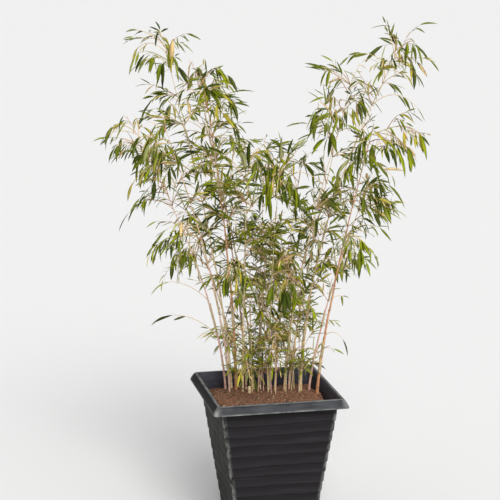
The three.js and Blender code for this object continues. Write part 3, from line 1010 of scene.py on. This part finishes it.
def growTufts(cane, nodes, draw, twigs, fans):
    whole = caneLine(cane)
    base, top = max(cane.get("bare", 0), tuftForm["between"][0]), tuftForm["between"][1]
    fullFrom, fullTo = tuftForm["fullBetween"]
    onwards, upwards = tuftForm["bend"]
    for k, t in enumerate(nodes):
        if t < base or t > top:
            continue
        point = whole(t)
        along = tangentOf(whole, t)
        facing = k * math.pi + draw() * tuftForm["facing"]
        more = cane.get("full", 0) if fullFrom < t < fullTo else 0
        for n in range(1 + round(tuftForm["mostTwigs"] * draw() ** tuftForm["fewer"]) + more):
            out = unitAcross(along, facing + (draw() - 0.5) * tuftForm["spread"])
            heading = unit(along * between(tuftForm["climb"], draw()) + out)
            length = between(tuftForm["twigLength"], draw() ** tuftForm["shorter"])
            length *= between(tuftForm["byHeight"], min(1, t * tuftForm["heightGain"]))
            start = point + out * slimRadius(cane, t) * tuftForm["rooted"]
            end = start + heading * length - upBy(tuftForm["sag"] * length)
            if min(start[2], end[2]) < pot["height"] + tuftForm["overPot"][0]:
                continue
            middle = start + heading * (length * onwards) + along * (length * upwards)
            line = bendLine(start, middle, end)
            addTwig(twigs, line, tuftForm["radii"], tuftForm["sides"])
            if draw() < tuftForm["bareShare"]:
                continue
            fan = []
            reach = between(tuftForm["leafLength"], draw()) * between(tuftForm["leafByHeight"], t)
            for j in range(round(between(tuftForm["leaves"], draw()))):
                share = max(1 - j * between(tuftForm["spacing"], draw()), tuftForm["lowest"])
                turn = sideTurn(j, tuftForm["leafTurn"], draw) if j else tuftForm["endTurn"] * draw()
                side = turnAbout(heading, unitAcross(heading, draw() * fullTurn), turn)
                blade = reach * between(tuftForm["leafSpread"], draw())
                fan.append(newLeaf(line(share), side, blade, draw, between(tuftForm["hang"], draw())))
            if draw() < tuftForm["spurShare"]:
                growSpur(line, heading, reach * between(tuftForm["spurLength"], draw()), draw, twigs, fan)
            clear = pot["height"] + tuftForm["overPot"][1]
            fans.append([leaf for leaf in fan
                         if leaf["root"][2] + leaf["along"][2] * leaf["length"] > clear])


# Strays: long thin twigs that arch out of the clump, with a few leaves near their ends. Each has
# its share of the cane's height, heading, length, drop of the end and number of leaves.
strays = {
    "far_left": ((0.2, 184, 108, -16, 3), (0.33, 178, 92, -14, 2), (0.66, 205, 100, 24, 3)),
    "left_front": ((0.6, 195, 88, 30, 3),),
    "left_tall": ((0.55, 190, 110, 36, 4), (0.8, 178, 64, 22, 5), (0.93, 150, 70, 10, 4),
                  (0.97, 110, 14, -12, 3)),
    "left_back": ((0.86, 185, 80, 30, 3),),
    "left_thick": ((0.84, 350, 62, 26, 4),),
    "right_tall": ((0.74, 184, 78, 0, 4),),
    "right_front": ((0.22, 320, 46, 10, 1), (0.9, 10, 80, 14, 4)),
    "right_low": ((0.92, 350, 56, 20, 3),),
    "far_right": ((0.9, 170, 84, 0, 5), (0.8, 345, 92, 26, 4), (0.62, 350, 96, 30, 5)),
}
strayForm = {
    "rise": (0.5, 0.25),
    "radii": (0.8, 0.7, 0.75, 0.6, 0.65, 0.5, 0.5, 0.4, 0.35),
    "sides": 4,
    "spacing": (0.12, 0.2),
    "lowest": 0.3,
    "leafTurn": (0.3, 0.8),
    "leafLength": (26, 44),
    "hang": (0.1, 0.5),
    "seed": 4400,
}


def growStrays(draw, twigs, fans):
    high, low = strayForm["rise"]
    for name, arms in strays.items():
        whole = caneLine(canes[name])
        for height, degrees, reach, drop, count in arms:
            start, out = whole(height), level(degrees)
            end = start + out * reach + upBy(reach * low - drop)
            line = bendLine(start, start + out * (reach / 2) + upBy(reach * high), end)
            addTwig(twigs, line, strayForm["radii"], strayForm["sides"])
            fan = []
            for k in range(count):
                share = max(1 - k * between(strayForm["spacing"], draw()), strayForm["lowest"])
                along = tangentOf(line, share)
                turn = sideTurn(k, strayForm["leafTurn"], draw) if k else 0.0
                side = turnAbout(along, unitAcross(along, math.pi / 2 + (draw() - 0.5)), turn)
                blade = between(strayForm["leafLength"], draw())
                fan.append(newLeaf(line(share), side, blade, draw, between(strayForm["hang"], draw())))
            fans.append(fan)


def dealLeaves(leaves, fan, fanTint, tint, draw):
    for leaf in fan:
        leaves[tint() if draw() < fanForm["ownTint"] else fanTint].append(leaf)


# Side sprays' own stems. Girths are shares of the plain solid's: inside the cane, and at both ends.
stemForm = {
    "pieces": 8,
    "sides": 6,
    "root": 0.6,
    "girth": (0.85, 0.45),
    "knotEvery": 3,
    "knot": 1.25,
}


def sprayStem(spray, woody):
    pieces = stemForm["pieces"]
    radii = [spray["radius"] * stemForm["root"]]
    for k in range(pieces + 1):
        swell = stemForm["knot"] if k % stemForm["knotEvery"] == 1 else 1
        radii.append(spray["radius"] * between(stemForm["girth"], k / pieces) * swell)
    woody.append(([spray["on"]] + pointsOn(spray["line"], pieces), radii, stemForm["sides"]))


def dressSpray(spray, draw, twigs, leaves):
    part = "low" if spray["kind"] == "low" else "sun" if spray["node"] in fanForm["sunny"] else "share"
    tint = dealer(leafTints, draw, part)
    wood = dealer(twigTints, draw)
    woody = twigs[wood()]
    fullness = fanForm["sparse"].get(spray["node"], 1)
    if spray["kind"] != "tip":
        sprayStem(spray, woody)
    for leaf in spray["stemLeaves"]:
        fan = growFan(leaf["root"], leaf["along"], leaf["length"], spray["kind"], draw, woody)
        dealLeaves(leaves, fan, tint(), tint, draw)
    for branch in spray["branches"]:
        start, span = branch["start"], branch["span"]
        lift = upBy(fanForm["branchLift"] * float(np.linalg.norm(span)))

        def along(share):
            return start + span * share + lift * (4 * share * (1 - share))

        woody = twigs[wood()]
        addTwig(woody, along, fanForm["branchRadii"], fanForm["branchSides"])
        twigTint = tint()
        for k, leaf in enumerate(branch["leaves"]):
            if draw() > fullness:
                continue
            root = along(1 - k * fanForm["alongTwig"])
            fan = growFan(root, leaf["along"], leaf["length"], spray["kind"], draw, woody)
            dealLeaves(leaves, fan, twigTint if draw() < fanForm["twigTint"] else tint(), tint, draw)


def dressNodes(cane, nodes, draw, twigs, leaves):
    tints = {part: dealer(leafTints, draw, part) for part in ("low", "share")}
    wood = dealer(twigTints, draw)
    fans, tufts = [], []
    growTufts(cane, nodes, draw, tufts, fans)
    for twig in tufts:
        twigs[wood()].append(twig)
    for fan in fans:
        if fan:
            tint = tints["low" if fan[0]["root"][2] < tuftForm["lowBelow"] else "share"]
            dealLeaves(leaves, fan, tint(), tint, draw)


def dressStrays(draw, twigs, leaves):
    tint = dealer(leafTints, draw)
    fans = []
    growStrays(draw, twigs["straw"], fans)
    for fan in fans:
        leaves[tint()].extend(fan)


def buildFoliage(dealt):
    sprays = planSprays()
    fits = spaceKeeper(sprays)
    twigs = {name: [] for name in twigTints}
    leaves = {name: [] for name in leafTints}
    for own, spray in enumerate(sprays):
        growSpray(spray, own, fits)
    plain = [leaf for spray in sprays for branch in spray["branches"] for leaf in branch["leaves"]]
    plain += [leaf for spray in sprays for leaf in spray["stemLeaves"]]
    print("sprays planned:", len(sprays), "plain leaves:", len(plain))
    for own, spray in enumerate(sprays):
        dressSpray(spray, randomStream(fanForm["seed"] + own), twigs, leaves)
    for n, (cane, nodes) in enumerate(dealt):
        dressNodes(cane, nodes, randomStream(tuftForm["seed"] + n), twigs, leaves)
    dressStrays(randomStream(strayForm["seed"]), twigs, leaves)
    masses = [spray["node"] for spray in sprays]
    for name, batch in leaves.items():
        tints = leafTints[name]
        looks = [shadedMaterial("leaf", name, tints["color"]),
                 shadedMaterial("leaf", name + "_under", tints["under"])]
        leafPiece(f"leaves_{name}", batch, looks, masses)
    for name, batch in twigs.items():
        heap = Heap()
        for points, radii, sides in batch:
            heap.addTube(points, radii, sides)
        look = shadedMaterial("twig", name, twigTints[name]["color"])
        makePiece(f"twigs_{name}", turned(heap.joined()), heap.faces, [look], masses)
    print("leaves:", sum(map(len, leaves.values())), "twigs:", sum(map(len, twigs.values())))


# Pot: ribbed, tapering, with a sloping lip whose corners are worn pale and whose top and lower edges carry
# painted highlights
pot = {
    "height": 300,
    "ridgeWidth": 262,
    "ridgeLand": 5,
    "lipWidth": 280,
    "lipDrop": 18,
    "lipLand": 3,
    "bodyWidth": 245,
    "bodyTaper": 0.145,
    "wall": 3.2,
    "floor": 4,
    "footBevel": 3,
    "footRows": ((17, 0), (3, 0), (1.35, 1.05), (-0.135, 2.4)),  # inset and height
    "corner": 5,
    "innerCorner": 4,
    "cornerSteps": 6,
    "sideSteps": 8,
    "ribPitch": 22.6,
    "ribRelief": 1.5,
    "ribFoot": ((0.35, 0.1), (0.02, 0.9), (0.1, 2.4)),  # a rib's rounded lower edge: inset, height
    "ribRows": (0.35, 0.65, 0.9),
    "ribSwell": 0.2,
    "ribTop": 0.4,
    # rows of the groove under the lip: out, up and material; and of the lip's edge: inset and up
    "neck": ((0, -0.4, 0), (0.5, 0, 1)),
    "lipEdge": ((0.8, 0), (0.15, 0.35), (0, 1), (0, 2.4), (0.5, 3.4)),
    "lipRows": (0.25, 0.5, 0.75, 0.92),
    "lipSwell": (0.5, 0.4),  # outwards and up
    "topEdge": ((0.4, 0.1), (1.2, 0)),  # inset and drop
    "topBevel": (0.8, 0.5),
    "innerNeck": (9, 1, -1),  # heights over the lip's lower edge
    "innerRows": (200, 60, 7),  # heights over the underside
    "floorRows": (2, 16),  # insets from the inner wall
    "holeDiameter": 12,
    "holeSpacing": 90,
    "holeSides": 24,
    "drill": (-10, 15),  # heights of the drain holes' cutter
    "sharpFrom": 38,  # degrees
    # each finish has a dark and a light colour, and tones: place on the ramp, which colour, how bright
    "plastic": ((0.0138, 0.0125, 0.0138), (0.0196, 0.0180, 0.0200)),
    # the plastic's tones paint a highlight along each rib's lower edge and shade towards its top
    "plasticTones": ((0.0, 1, 1.08), (0.22, 1, 1), (0.62, 0, 1), (0.93, 0, 0.85)),
    "smear": (0.034, 0.032, 0.036),
    # the left side's colour is painted shade with a painted green reflection; its two factors paint lighter
    # and darker bands on the ribs
    "leftPaintedShade": (0.0165, 0.0185, 0.0145),
    "leftPaintedShadeRibs": (1.45, 0.5),
    "lip": ((0.0115, 0.012, 0.0135), (0.046, 0.049, 0.057)),
    "lipTones": ((0.42, 0, 1), (0.6, 1, 0.7), (0.74, 1, 1)),
    "lipNoises": (((1, 6, (24, 24, 210)), 0.55), ((22, 3), 0.6)),  # streaks and clouds, with shares
    # the inner wall's colours are the plastic painted lighter and bluish: painted reflected light
    "inner": ((0.034, 0.034, 0.048), (0.062, 0.062, 0.078)),
    "innerTones": ((0.3, 0, 1), (0.7, 1, 1)),
    "innerNoise": (1, 4, (12, 12, 90)),
    # the pale colour of wear, of dust and of the lip's painted highlights
    "paleMarkColor": (0.42, 0.43, 0.42),
    "scuffCurve": 1.6,
    "grain": (900, 3),
    "grainBump": (0.16, 0.0004),
    "specular": 0.09,
    "lipSpecular": 0.13,
    "mattSpecular": 0.014,  # the left side's
}
# Marks on the plastic: a noise, what part of it is read, and what that becomes
potMarks = {
    "gloss": dict(noise=(35, 4), read=(0, 1), to=(0.30, 0.58)),
    "wander": dict(noise=(1, 4, (14, 14, 60)), read=(0.2, 0.8), to=(-0.16, 0.16)),
    "smears": dict(noise=(1, 5, (9, 9, 120)), read=(0.52, 0.8), to=(0, 0.5)),
    "bodyFlecks": dict(noise=(1, 5, (110, 110, 75)), read=(0.36, 0.68), to=(0, 1)),
    "lipFlecks": dict(noise=(60, 5), read=(0.2, 0.72), to=(0, 1)),
    "dust": dict(noise=(60, 4), read=(0.6, 0.9), to=(0, 0.12)),
}
# Wear, painted shade and painted highlights near an edge: how many millimetres short of it each starts
# and is full, and its strength. The left sides are painted shade, the corners are wear, and the lip's top
# and lower edges are painted highlights. They are below nought where heights or places fall towards the
# edge.
potWearAndPaintedLight = {
    "left": (9, 5, 1),
    "corner": (11, 2, 0.6),
    # the lip's left face is painted in its dark colour: painted shade
    "lipLeftShade": (-6, 0, 1),
    "lipCorner": (17, 4, 0.8),
    # the lip's lower edge and top ridge get pale lines: painted highlights
    "lipUnderHighlight": (-4.2, -1, 0.6),
    "lipTopHighlight": (1.6, 0.4, 0.55),
}


def bodyHalf(z):
    return pot["bodyWidth"] / 2 - (pot["height"] - pot["lipDrop"] - z) * pot["bodyTaper"]


def innerHalf(z):
    return bodyHalf(z) - pot["wall"]


def squareRing(half, z, corner):
    points = []
    signs = ((1, 1), (-1, 1), (-1, -1), (1, -1))

    def cornerPoint(quarter, angle):
        sx, sy = signs[quarter % 4]
        return np.array((sx * (half - corner) + corner * math.cos(angle),
                         sy * (half - corner) + corner * math.sin(angle), z))

    for quarter in range(4):
        for step in range(pot["cornerSteps"] + 1):
            points.append(cornerPoint(quarter, (quarter + step / pot["cornerSteps"]) * math.pi / 2))
        following = cornerPoint(quarter + 1, (quarter + 1) * math.pi / 2)
        last = points[-1]
        for k in range(1, pot["sideSteps"]):
            points.append(last + (following - last) * (0.5 - 0.5 * math.cos(math.pi * k / pot["sideSteps"])))
    return points


# The wall's outline, from the foot up, over the lip and down inside: half width, height, material
def potProfile():
    top, lipBottom = pot["height"], pot["height"] - pot["lipDrop"]
    relief, bevel = pot["ribRelief"], pot["footBevel"]
    rows = [(bodyHalf(0) - inset, up, 0) for inset, up in pot["footRows"]]
    for band in range(int((lipBottom - bevel) / pot["ribPitch"])):
        low = bevel + band * pot["ribPitch"]
        high = low + pot["ribPitch"] - 2 * relief
        rows += [(bodyHalf(low) - inset, low + up, 0) for inset, up in pot["ribFoot"]]
        for at in pot["ribRows"]:
            half = between((bodyHalf(low), bodyHalf(high) - relief), at)
            half += pot["ribSwell"] * math.sin(math.pi * at)
            rows.append((half, between((low, high), at), 0))
        rows.append((bodyHalf(high) - relief, high + pot["ribTop"], 0))
    groove = bodyHalf(lipBottom) - relief
    rows += [(groove + out, lipBottom + up, part) for out, up, part in pot["neck"]]
    lip, ridge = pot["lipWidth"] / 2, pot["ridgeWidth"] / 2
    rows += [(lip - inset, lipBottom + up, 1) for inset, up in pot["lipEdge"]]
    for at in pot["lipRows"]:
        out, up = (swell * math.sin(math.pi * at) for swell in pot["lipSwell"])
        half, z = between((lip, ridge), at), between((lipBottom + pot["lipLand"], top), at)
        rows.append((half + out, z + up, 1))
    rows += [(ridge - inset, top - drop, 1) for inset, drop in pot["topEdge"]]
    inside, (across, drop) = ridge - pot["ridgeLand"], pot["topBevel"]
    rows += [(inside + across, top, 1), (inside, top - drop, 2)]
    for up in pot["innerNeck"]:
        half = between((innerHalf(lipBottom), inside), max(up, 0) / pot["lipDrop"])
        rows.append((half, lipBottom + up, 2))
    rows += [(innerHalf(z), z, 2) for z in pot["innerRows"]]
    rows += [(innerHalf(pot["floor"]) - inset, pot["floor"], 2) for inset in pot["floorRows"]]
    return rows


def placeOn(surface):
    place = surface.nodes.new("ShaderNodeSeparateXYZ")
    surface.put(surface.place(), place.inputs[0])
    away = [surface.calc("ABSOLUTE", place.outputs[axis]) for axis in ("X", "Y")]
    return place.outputs["X"], place.outputs["Z"], surface.calc("MINIMUM", *away)


def tonesOf(name):
    return [(at, shaded(pot[name][which], bright)) for at, which, bright in pot[name + "Tones"]]


def marked(surface, name):
    mark = potMarks[name]
    return surface.span(surface.noise(*mark["noise"]), *mark["read"], mark["to"])


def wearAndPaintedLightNear(surface, source, edge, name):
    start, full, strength = potWearAndPaintedLight[name]
    return surface.span(source, (edge - start) * mm, (edge - full) * mm), strength


# pale marks are wear and dust, and on the lip also painted highlights
def finishPlastic(surface, color, paleMarks):
    surface.tint(surface.mix(paleMarks, color, pot["paleMarkColor"]))
    surface.put(marked(surface, "gloss"), surface.sockets["Roughness"])
    surface.bump(surface.noise(*pot["grain"]), *pot["grainBump"])
    return surface.material


# The left side is duller than the rest; its darker colour, mixed in by the callers, is painted shade
def dullLeft(surface, left, specular, dull):
    surface.put(surface.span(left, 0, 1, (specular, dull)), surface.sockets["Specular IOR Level"])


# The body is painted lighter towards each rib's lower edge and darker towards its top: a painted highlight
# and painted shade on every rib. Its corners are rubbed. Its left side is painted darker and greenish:
# painted shade with a painted green reflection
def bodyMaterial():
    surface = Surface("pot_plastic", 0.5, pot["specular"])
    x, z, least = placeOn(surface)
    # each rib is painted lighter at its lower edge and darker towards its top: painted highlight and painted
    # shade
    bands = surface.calc("MULTIPLY_ADD", z, 1 / (pot["ribPitch"] * mm), -pot["footBevel"] / pot["ribPitch"])
    bands = surface.calc("FRACT", surface.calc("ADD", bands, marked(surface, "wander")))
    ribHighlightAndShade = surface.ramp(bands, *tonesOf("plastic"))
    color = surface.mix(marked(surface, "smears"), ribHighlightAndShade, pot["smear"])
    # the left side is painted darker and greenish: painted shade with a painted green reflection, banded on
    # its ribs by painted highlight and shade
    left = surface.calc("MULTIPLY_ADD", z, -pot["bodyTaper"], surface.calc("MULTIPLY", x, -1))
    left = wearAndPaintedLightNear(surface, left, bodyHalf(0), "left")[0]
    leftPaintedShade = surface.mix(bands, *(shaded(pot["leftPaintedShade"], factor) for factor in pot["leftPaintedShadeRibs"]))
    color = surface.mix(left, color, leftPaintedShade)
    dullLeft(surface, left, pot["specular"], pot["mattSpecular"])
    corner = surface.calc("MULTIPLY_ADD", z, -pot["bodyTaper"], least)
    rubbed, strength = wearAndPaintedLightNear(surface, corner, bodyHalf(0), "corner")
    rubbed = surface.calc("POWER", rubbed, pot["scuffCurve"])
    paleMarks = surface.calc("MULTIPLY", rubbed, marked(surface, "bodyFlecks"))
    return finishPlastic(surface, color, surface.calc("MULTIPLY", paleMarks, strength))


# The lip is streaked and rubbed at its corners; painted highlights run along its top ridge and lower edge,
# and its left face is painted darker as shade
def lipMaterial():
    surface = Surface("pot_lip", 0.5, pot["lipSpecular"])
    x, z, least = placeOn(surface)
    (streaks, streaked), (clouds, clouded) = pot["lipNoises"]
    tone = surface.calc("MULTIPLY", surface.noise(*streaks), streaked)
    tone = surface.calc("MULTIPLY_ADD", surface.noise(*clouds), clouded, tone)
    color = surface.ramp(tone, *tonesOf("lip"))
    # the lip's left face is painted dark: painted shade
    left = wearAndPaintedLightNear(surface, x, -pot["ridgeWidth"] / 2, "lipLeftShade")[0]
    color = surface.mix(left, color, pot["lip"][0])
    dullLeft(surface, left, pot["lipSpecular"], 2 * pot["mattSpecular"])
    # the corners are rubbed; the pale lines along the lower edge and the top ridge are painted highlights
    edges = ((least, pot["lipWidth"] / 2, "lipCorner"), (z, pot["height"] - pot["lipDrop"], "lipUnderHighlight"),
             (z, pot["height"], "lipTopHighlight"))
    corners, under, above = (surface.calc("MULTIPLY", *wearAndPaintedLightNear(surface, *edge)) for edge in edges)
    paleMarks = surface.calc("MAXIMUM", surface.calc("MAXIMUM", corners, under), above)
    return finishPlastic(surface, color, surface.calc("MULTIPLY", paleMarks, marked(surface, "lipFlecks")))


# The inner wall is the body's plastic painted lighter and bluish, with lighter horizontal streaks: painted
# reflected light. Its pale flecks are dust.
def innerMaterial():
    surface = Surface("pot_inner", 0.5, pot["specular"])
    color = surface.ramp(surface.noise(*pot["innerNoise"]), *tonesOf("inner"))
    return finishPlastic(surface, color, marked(surface, "dust"))


def cutDrainHoles(piece):
    heap = Heap()
    radius, away = pot["holeDiameter"] / 2, pot["holeSpacing"] / 2
    for x, y in itertools.product((away, -away), repeat=2):
        heap.addTube([(x, y, z) for z in pot["drill"]], [radius, radius], pot["holeSides"])
    mesh = bpy.data.meshes.new("drain_cutter")
    mesh.from_pydata((heap.joined() * mm).tolist(), [], heap.faces)
    cutter = bpy.data.objects.new("drain_cutter", mesh)
    bpy.context.scene.collection.objects.link(cutter)
    cut = piece.modifiers.new("drain", "BOOLEAN")
    cut.object = cutter
    cut.solver = "EXACT"
    graph = bpy.context.evaluated_depsgraph_get()
    holed = bpy.data.meshes.new_from_object(piece.evaluated_get(graph))
    piece.modifiers.clear()
    piece.data = holed
    bpy.data.objects.remove(cutter)


def buildPot():
    rows = potProfile()
    rings = [squareRing(half, z, pot["innerCorner" if part == 2 else "corner"]) for half, z, part in rows]
    sides = len(rings[0])
    faces = ringFaces(len(rings), sides)
    faceSlots = [part for half, z, part in rows[:-1] for s in range(sides)]
    faces.append(tuple(range(sides))[::-1])
    faces.append(tuple((len(rings) - 1) * sides + s for s in range(sides)))
    made = makePiece("pot_ribbed", np.concatenate(rings), faces,
                     [bodyMaterial(), lipMaterial(), innerMaterial()], ["pot"], faceSlots + [0, 2])
    cutDrainHoles(made)
    made.data.set_sharp_from_angle(angle=math.radians(pot["sharpFrom"]))
    print("pot made:", len(made.data.polygons), "faces")


# Soil: a low mound of crumbs, highest where the canes stand
soil = {
    "edgeHeight": 264,
    "bedHeight": 281,
    "bed": (110, 54, -8, 40),  # half length, half width, shift and corner of the level bed
    "cells": 84,
    "clear": 0.4,
    "lumps": 2.2,
    "lumpSizes": ((0.07, 3, 1), (0.19, 9, 0.6), (0.45, 5, 0.4)),  # fineness, layer and share
    "rounding": 0.012,
    "levelTo": 0.02,  # a smaller share of the fall to the wall counts as level
    "levelLumps": 0.6,
    "lowered": 0.8,
    "measuredAt": 270,
    "earth": ((0.105, 0.054, 0.035), (0.29, 0.148, 0.088)),
    "crumbs": 3000,
    "crumbSize": (0.6, 2.7),
    "crumbFineness": 2.2,  # the higher, the more fine crumbs
    "crumbSpans": ((0.8, 1.5), (0.7, 1.2), (0.5, 0.9)),  # length, width and height for its size
    "crumbRough": (0.75, 1.25),
    "crumbRaised": 0.25,
    "crumbMargin": 4,
    "seed": 321,
}
crumbTints = {
    "dark": dict(color=(0.115, 0.064, 0.042), share=0.22),
    "rust": dict(color=(0.265, 0.130, 0.074), share=0.45),
    "umber": dict(color=(0.195, 0.109, 0.068), share=0.28),
    "pale": dict(color=(0.38, 0.27, 0.18), share=0.05),
}


def soilHeight(x, y):
    across, away, shift, corner = soil["bed"]
    a = math.radians(-clump["turn"])
    u, v = x * math.cos(a) - y * math.sin(a), x * math.sin(a) + y * math.cos(a) - shift
    du, dv = max(abs(u) - across + corner, 0), max(abs(v) - away + corner, 0)
    outside = max(math.hypot(du, dv) - corner, 0)
    toWall = max(innerHalf(soil["edgeHeight"]) - max(abs(x), abs(y)), 0)
    fall = outside / (outside + toWall + 1e-6)
    rough = sum(share * noise.noise(Vector((x, y, layer)) * fine)
                for fine, layer, share in soil["lumpSizes"])
    lumps = soil["lumps"] * rough * (1 if fall > soil["levelTo"] else soil["levelLumps"])
    return between((soil["bedHeight"], soil["edgeHeight"]), fall) + lumps - soil["lowered"]


def buildSoil():
    cells, bottom = soil["cells"], pot["floor"] + soil["clear"]

    def soilPoint(i, j, z):
        u, v = 2 * i / cells - 1, 2 * j / cells - 1
        half = (innerHalf(z) - soil["clear"]) * (1 - soil["rounding"] * (u * u * v * v) ** 4)
        return u * half, v * half, z

    wide = innerHalf(soil["measuredAt"])
    grid = [(i, j) for i in range(cells + 1) for j in range(cells + 1)]
    index = {here: n for n, here in enumerate(grid)}
    points = [soilPoint(i, j, soilHeight((2 * i / cells - 1) * wide, (2 * j / cells - 1) * wide))
              for i, j in grid]
    faces = [(index[i, j], index[i + 1, j], index[i + 1, j + 1], index[i, j + 1])
             for i in range(cells) for j in range(cells)]
    edge = [(i, 0) for i in range(cells)] + [(cells, j) for j in range(cells)]
    edge += [(cells - i, cells) for i in range(cells)] + [(0, cells - j) for j in range(cells)]
    first = len(points)
    points += [soilPoint(i, j, bottom) for i, j in edge]
    for n, here in enumerate(edge):
        m = (n + 1) % len(edge)
        faces.append((first + n, first + m, index[edge[m]], index[here]))
    faces.append(tuple(first + n for n in range(len(edge)))[::-1])
    earth = tonedMaterial("soil", "soil_earth", (0.32, soil["earth"][0]), (0.68, soil["earth"][1]))
    makePiece("soil_mound", points, faces, [earth], ["soil"])
    buildCrumbs()


# A ball of twenty triangles
def crumbShell():
    golden = (1 + math.sqrt(5)) / 2
    corners = [(0, a, b * golden) for a in (-1, 1) for b in (-1, 1)]
    corners += [(a, b * golden, 0) for a in (-1, 1) for b in (-1, 1)]
    corners += [(b * golden, 0, a) for a in (-1, 1) for b in (-1, 1)]
    corners = np.array(corners, float) / math.hypot(1, golden)
    edgeLength = 2 / math.hypot(1, golden)
    shell = []
    for i, j, k in itertools.combinations(range(len(corners)), 3):
        edges = (corners[i] - corners[j], corners[j] - corners[k], corners[k] - corners[i])
        if all(abs(np.linalg.norm(edge) - edgeLength) < 0.01 for edge in edges):
            facing = np.dot(np.cross(corners[j] - corners[i], corners[k] - corners[i]), corners[i])
            shell.append((i, j, k) if facing > 0 else (i, k, j))
    return corners, shell


def buildCrumbs():
    corners, shell = crumbShell()
    draw = randomStream(soil["seed"])
    deal = dealer(crumbTints, draw)
    heaps = {name: Heap() for name in crumbTints}
    limit = innerHalf(soil["edgeHeight"]) - soil["crumbMargin"]
    for n in range(soil["crumbs"]):
        x, y = (2 * draw() - 1) * limit, (2 * draw() - 1) * limit
        size = between(soil["crumbSize"], draw() ** soil["crumbFineness"])
        grow = size * np.array([between(span, draw()) for span in soil["crumbSpans"]])
        knobs = np.array([between(soil["crumbRough"], draw()) for corner in corners])
        rough = corners * knobs[:, None] * grow
        rough = turned(rough, math.degrees(draw() * fullTurn))
        heap = heaps[deal()]
        faces = [tuple(heap.count + corner for corner in face) for face in shell]
        heap.add(rough + np.array((x, y, soilHeight(x, y) + soil["crumbRaised"] * size)), faces)
    for name, heap in heaps.items():
        look = shadedMaterial("crumb", name, crumbTints[name]["color"])
        makePiece(f"soil_crumbs_{name}", heap.joined(), heap.faces, [look], smooth=False)
    print("soil made, crumbs:", soil["crumbs"])


# Stage: a wide pale floor under an even pale sky
stage = {
    "floor": (0.84, 0.845, 0.855),
    "roughness": 0.9,
    "specular": 0.1,
    "wide": 160.0,
    "sky": (1.0, 0.998, 0.995),
    "skyStrength": 0.5,
    "lampsAway": 4,
}
camera = {
    "place": (-0.7562, -3.3324, 1.3103),
    "yaw": 12.17,
    "pitch": 11.92,
    "lens": 122.3,
    "sensor": 36,
    "sees": 60,  # metres
}
# Suns with a wide disc, which light the floor evenly: heading they shine from, height, softness
lights = {
    "key": dict(heading=-86, height=40, softness=30, strength=2.3, color=(1.0, 0.985, 0.96)),
    "fill": dict(heading=-56, height=20, softness=60, strength=0.8, color=(1.0, 0.995, 0.985)),
}


def buildStage():
    half = stage["wide"] / 2
    corners = [(-half, -half, 0), (half, -half, 0), (half, half, 0), (-half, half, 0)]
    mesh = bpy.data.meshes.new("studio_floor")
    mesh.from_pydata(corners, [], [(0, 1, 2, 3)])
    paper = Surface("studio_paper", stage["roughness"], stage["specular"])
    paper.tint(stage["floor"])
    mesh.materials.append(paper.material)
    floor = bpy.data.objects.new("studio_floor", mesh)
    bpy.context.scene.collection.objects.link(floor)
    world = bpy.data.worlds.new("sky")
    world.use_nodes = True
    background = world.node_tree.nodes["Background"].inputs
    background["Color"].default_value = (*stage["sky"], 1)
    background["Strength"].default_value = stage["skyStrength"]
    bpy.context.scene.world = world
    bpy.context.scene.view_settings.view_transform = "Standard"


def headingOf(yaw, pitch):
    return Vector((math.cos(yaw) * math.cos(pitch), math.sin(yaw) * math.cos(pitch), math.sin(pitch)))


def buildCamera():
    data = bpy.data.cameras.new("view")
    data.lens = camera["lens"]
    data.sensor_width = camera["sensor"]
    data.clip_end = camera["sees"]
    eye = bpy.data.objects.new("view", data)
    looking = headingOf(math.radians(90 - camera["yaw"]), math.radians(-camera["pitch"]))
    eye.location = camera["place"]
    eye.rotation_euler = looking.to_track_quat("-Z", "Y").to_euler()
    bpy.context.scene.collection.objects.link(eye)
    bpy.context.scene.camera = eye


def buildLights():
    for name, light in lights.items():
        data = bpy.data.lights.new(name, "SUN")
        data.energy = light["strength"]
        data.angle = math.radians(light["softness"])
        data.color = light["color"]
        shines = headingOf(math.radians(light["heading"]), math.radians(light["height"]))
        lamp = bpy.data.objects.new(name, data)
        lamp.location = shines * stage["lampsAway"]
        lamp.rotation_euler = (-shines).to_track_quat("-Z", "Y").to_euler()
        bpy.context.scene.collection.objects.link(lamp)


buildCamera()
buildStage()
buildLights()
buildPot()
buildSoil()
sheaths = Heap()
buildFoliage(buildCanes(sheaths))
buildSheaths(sheaths)
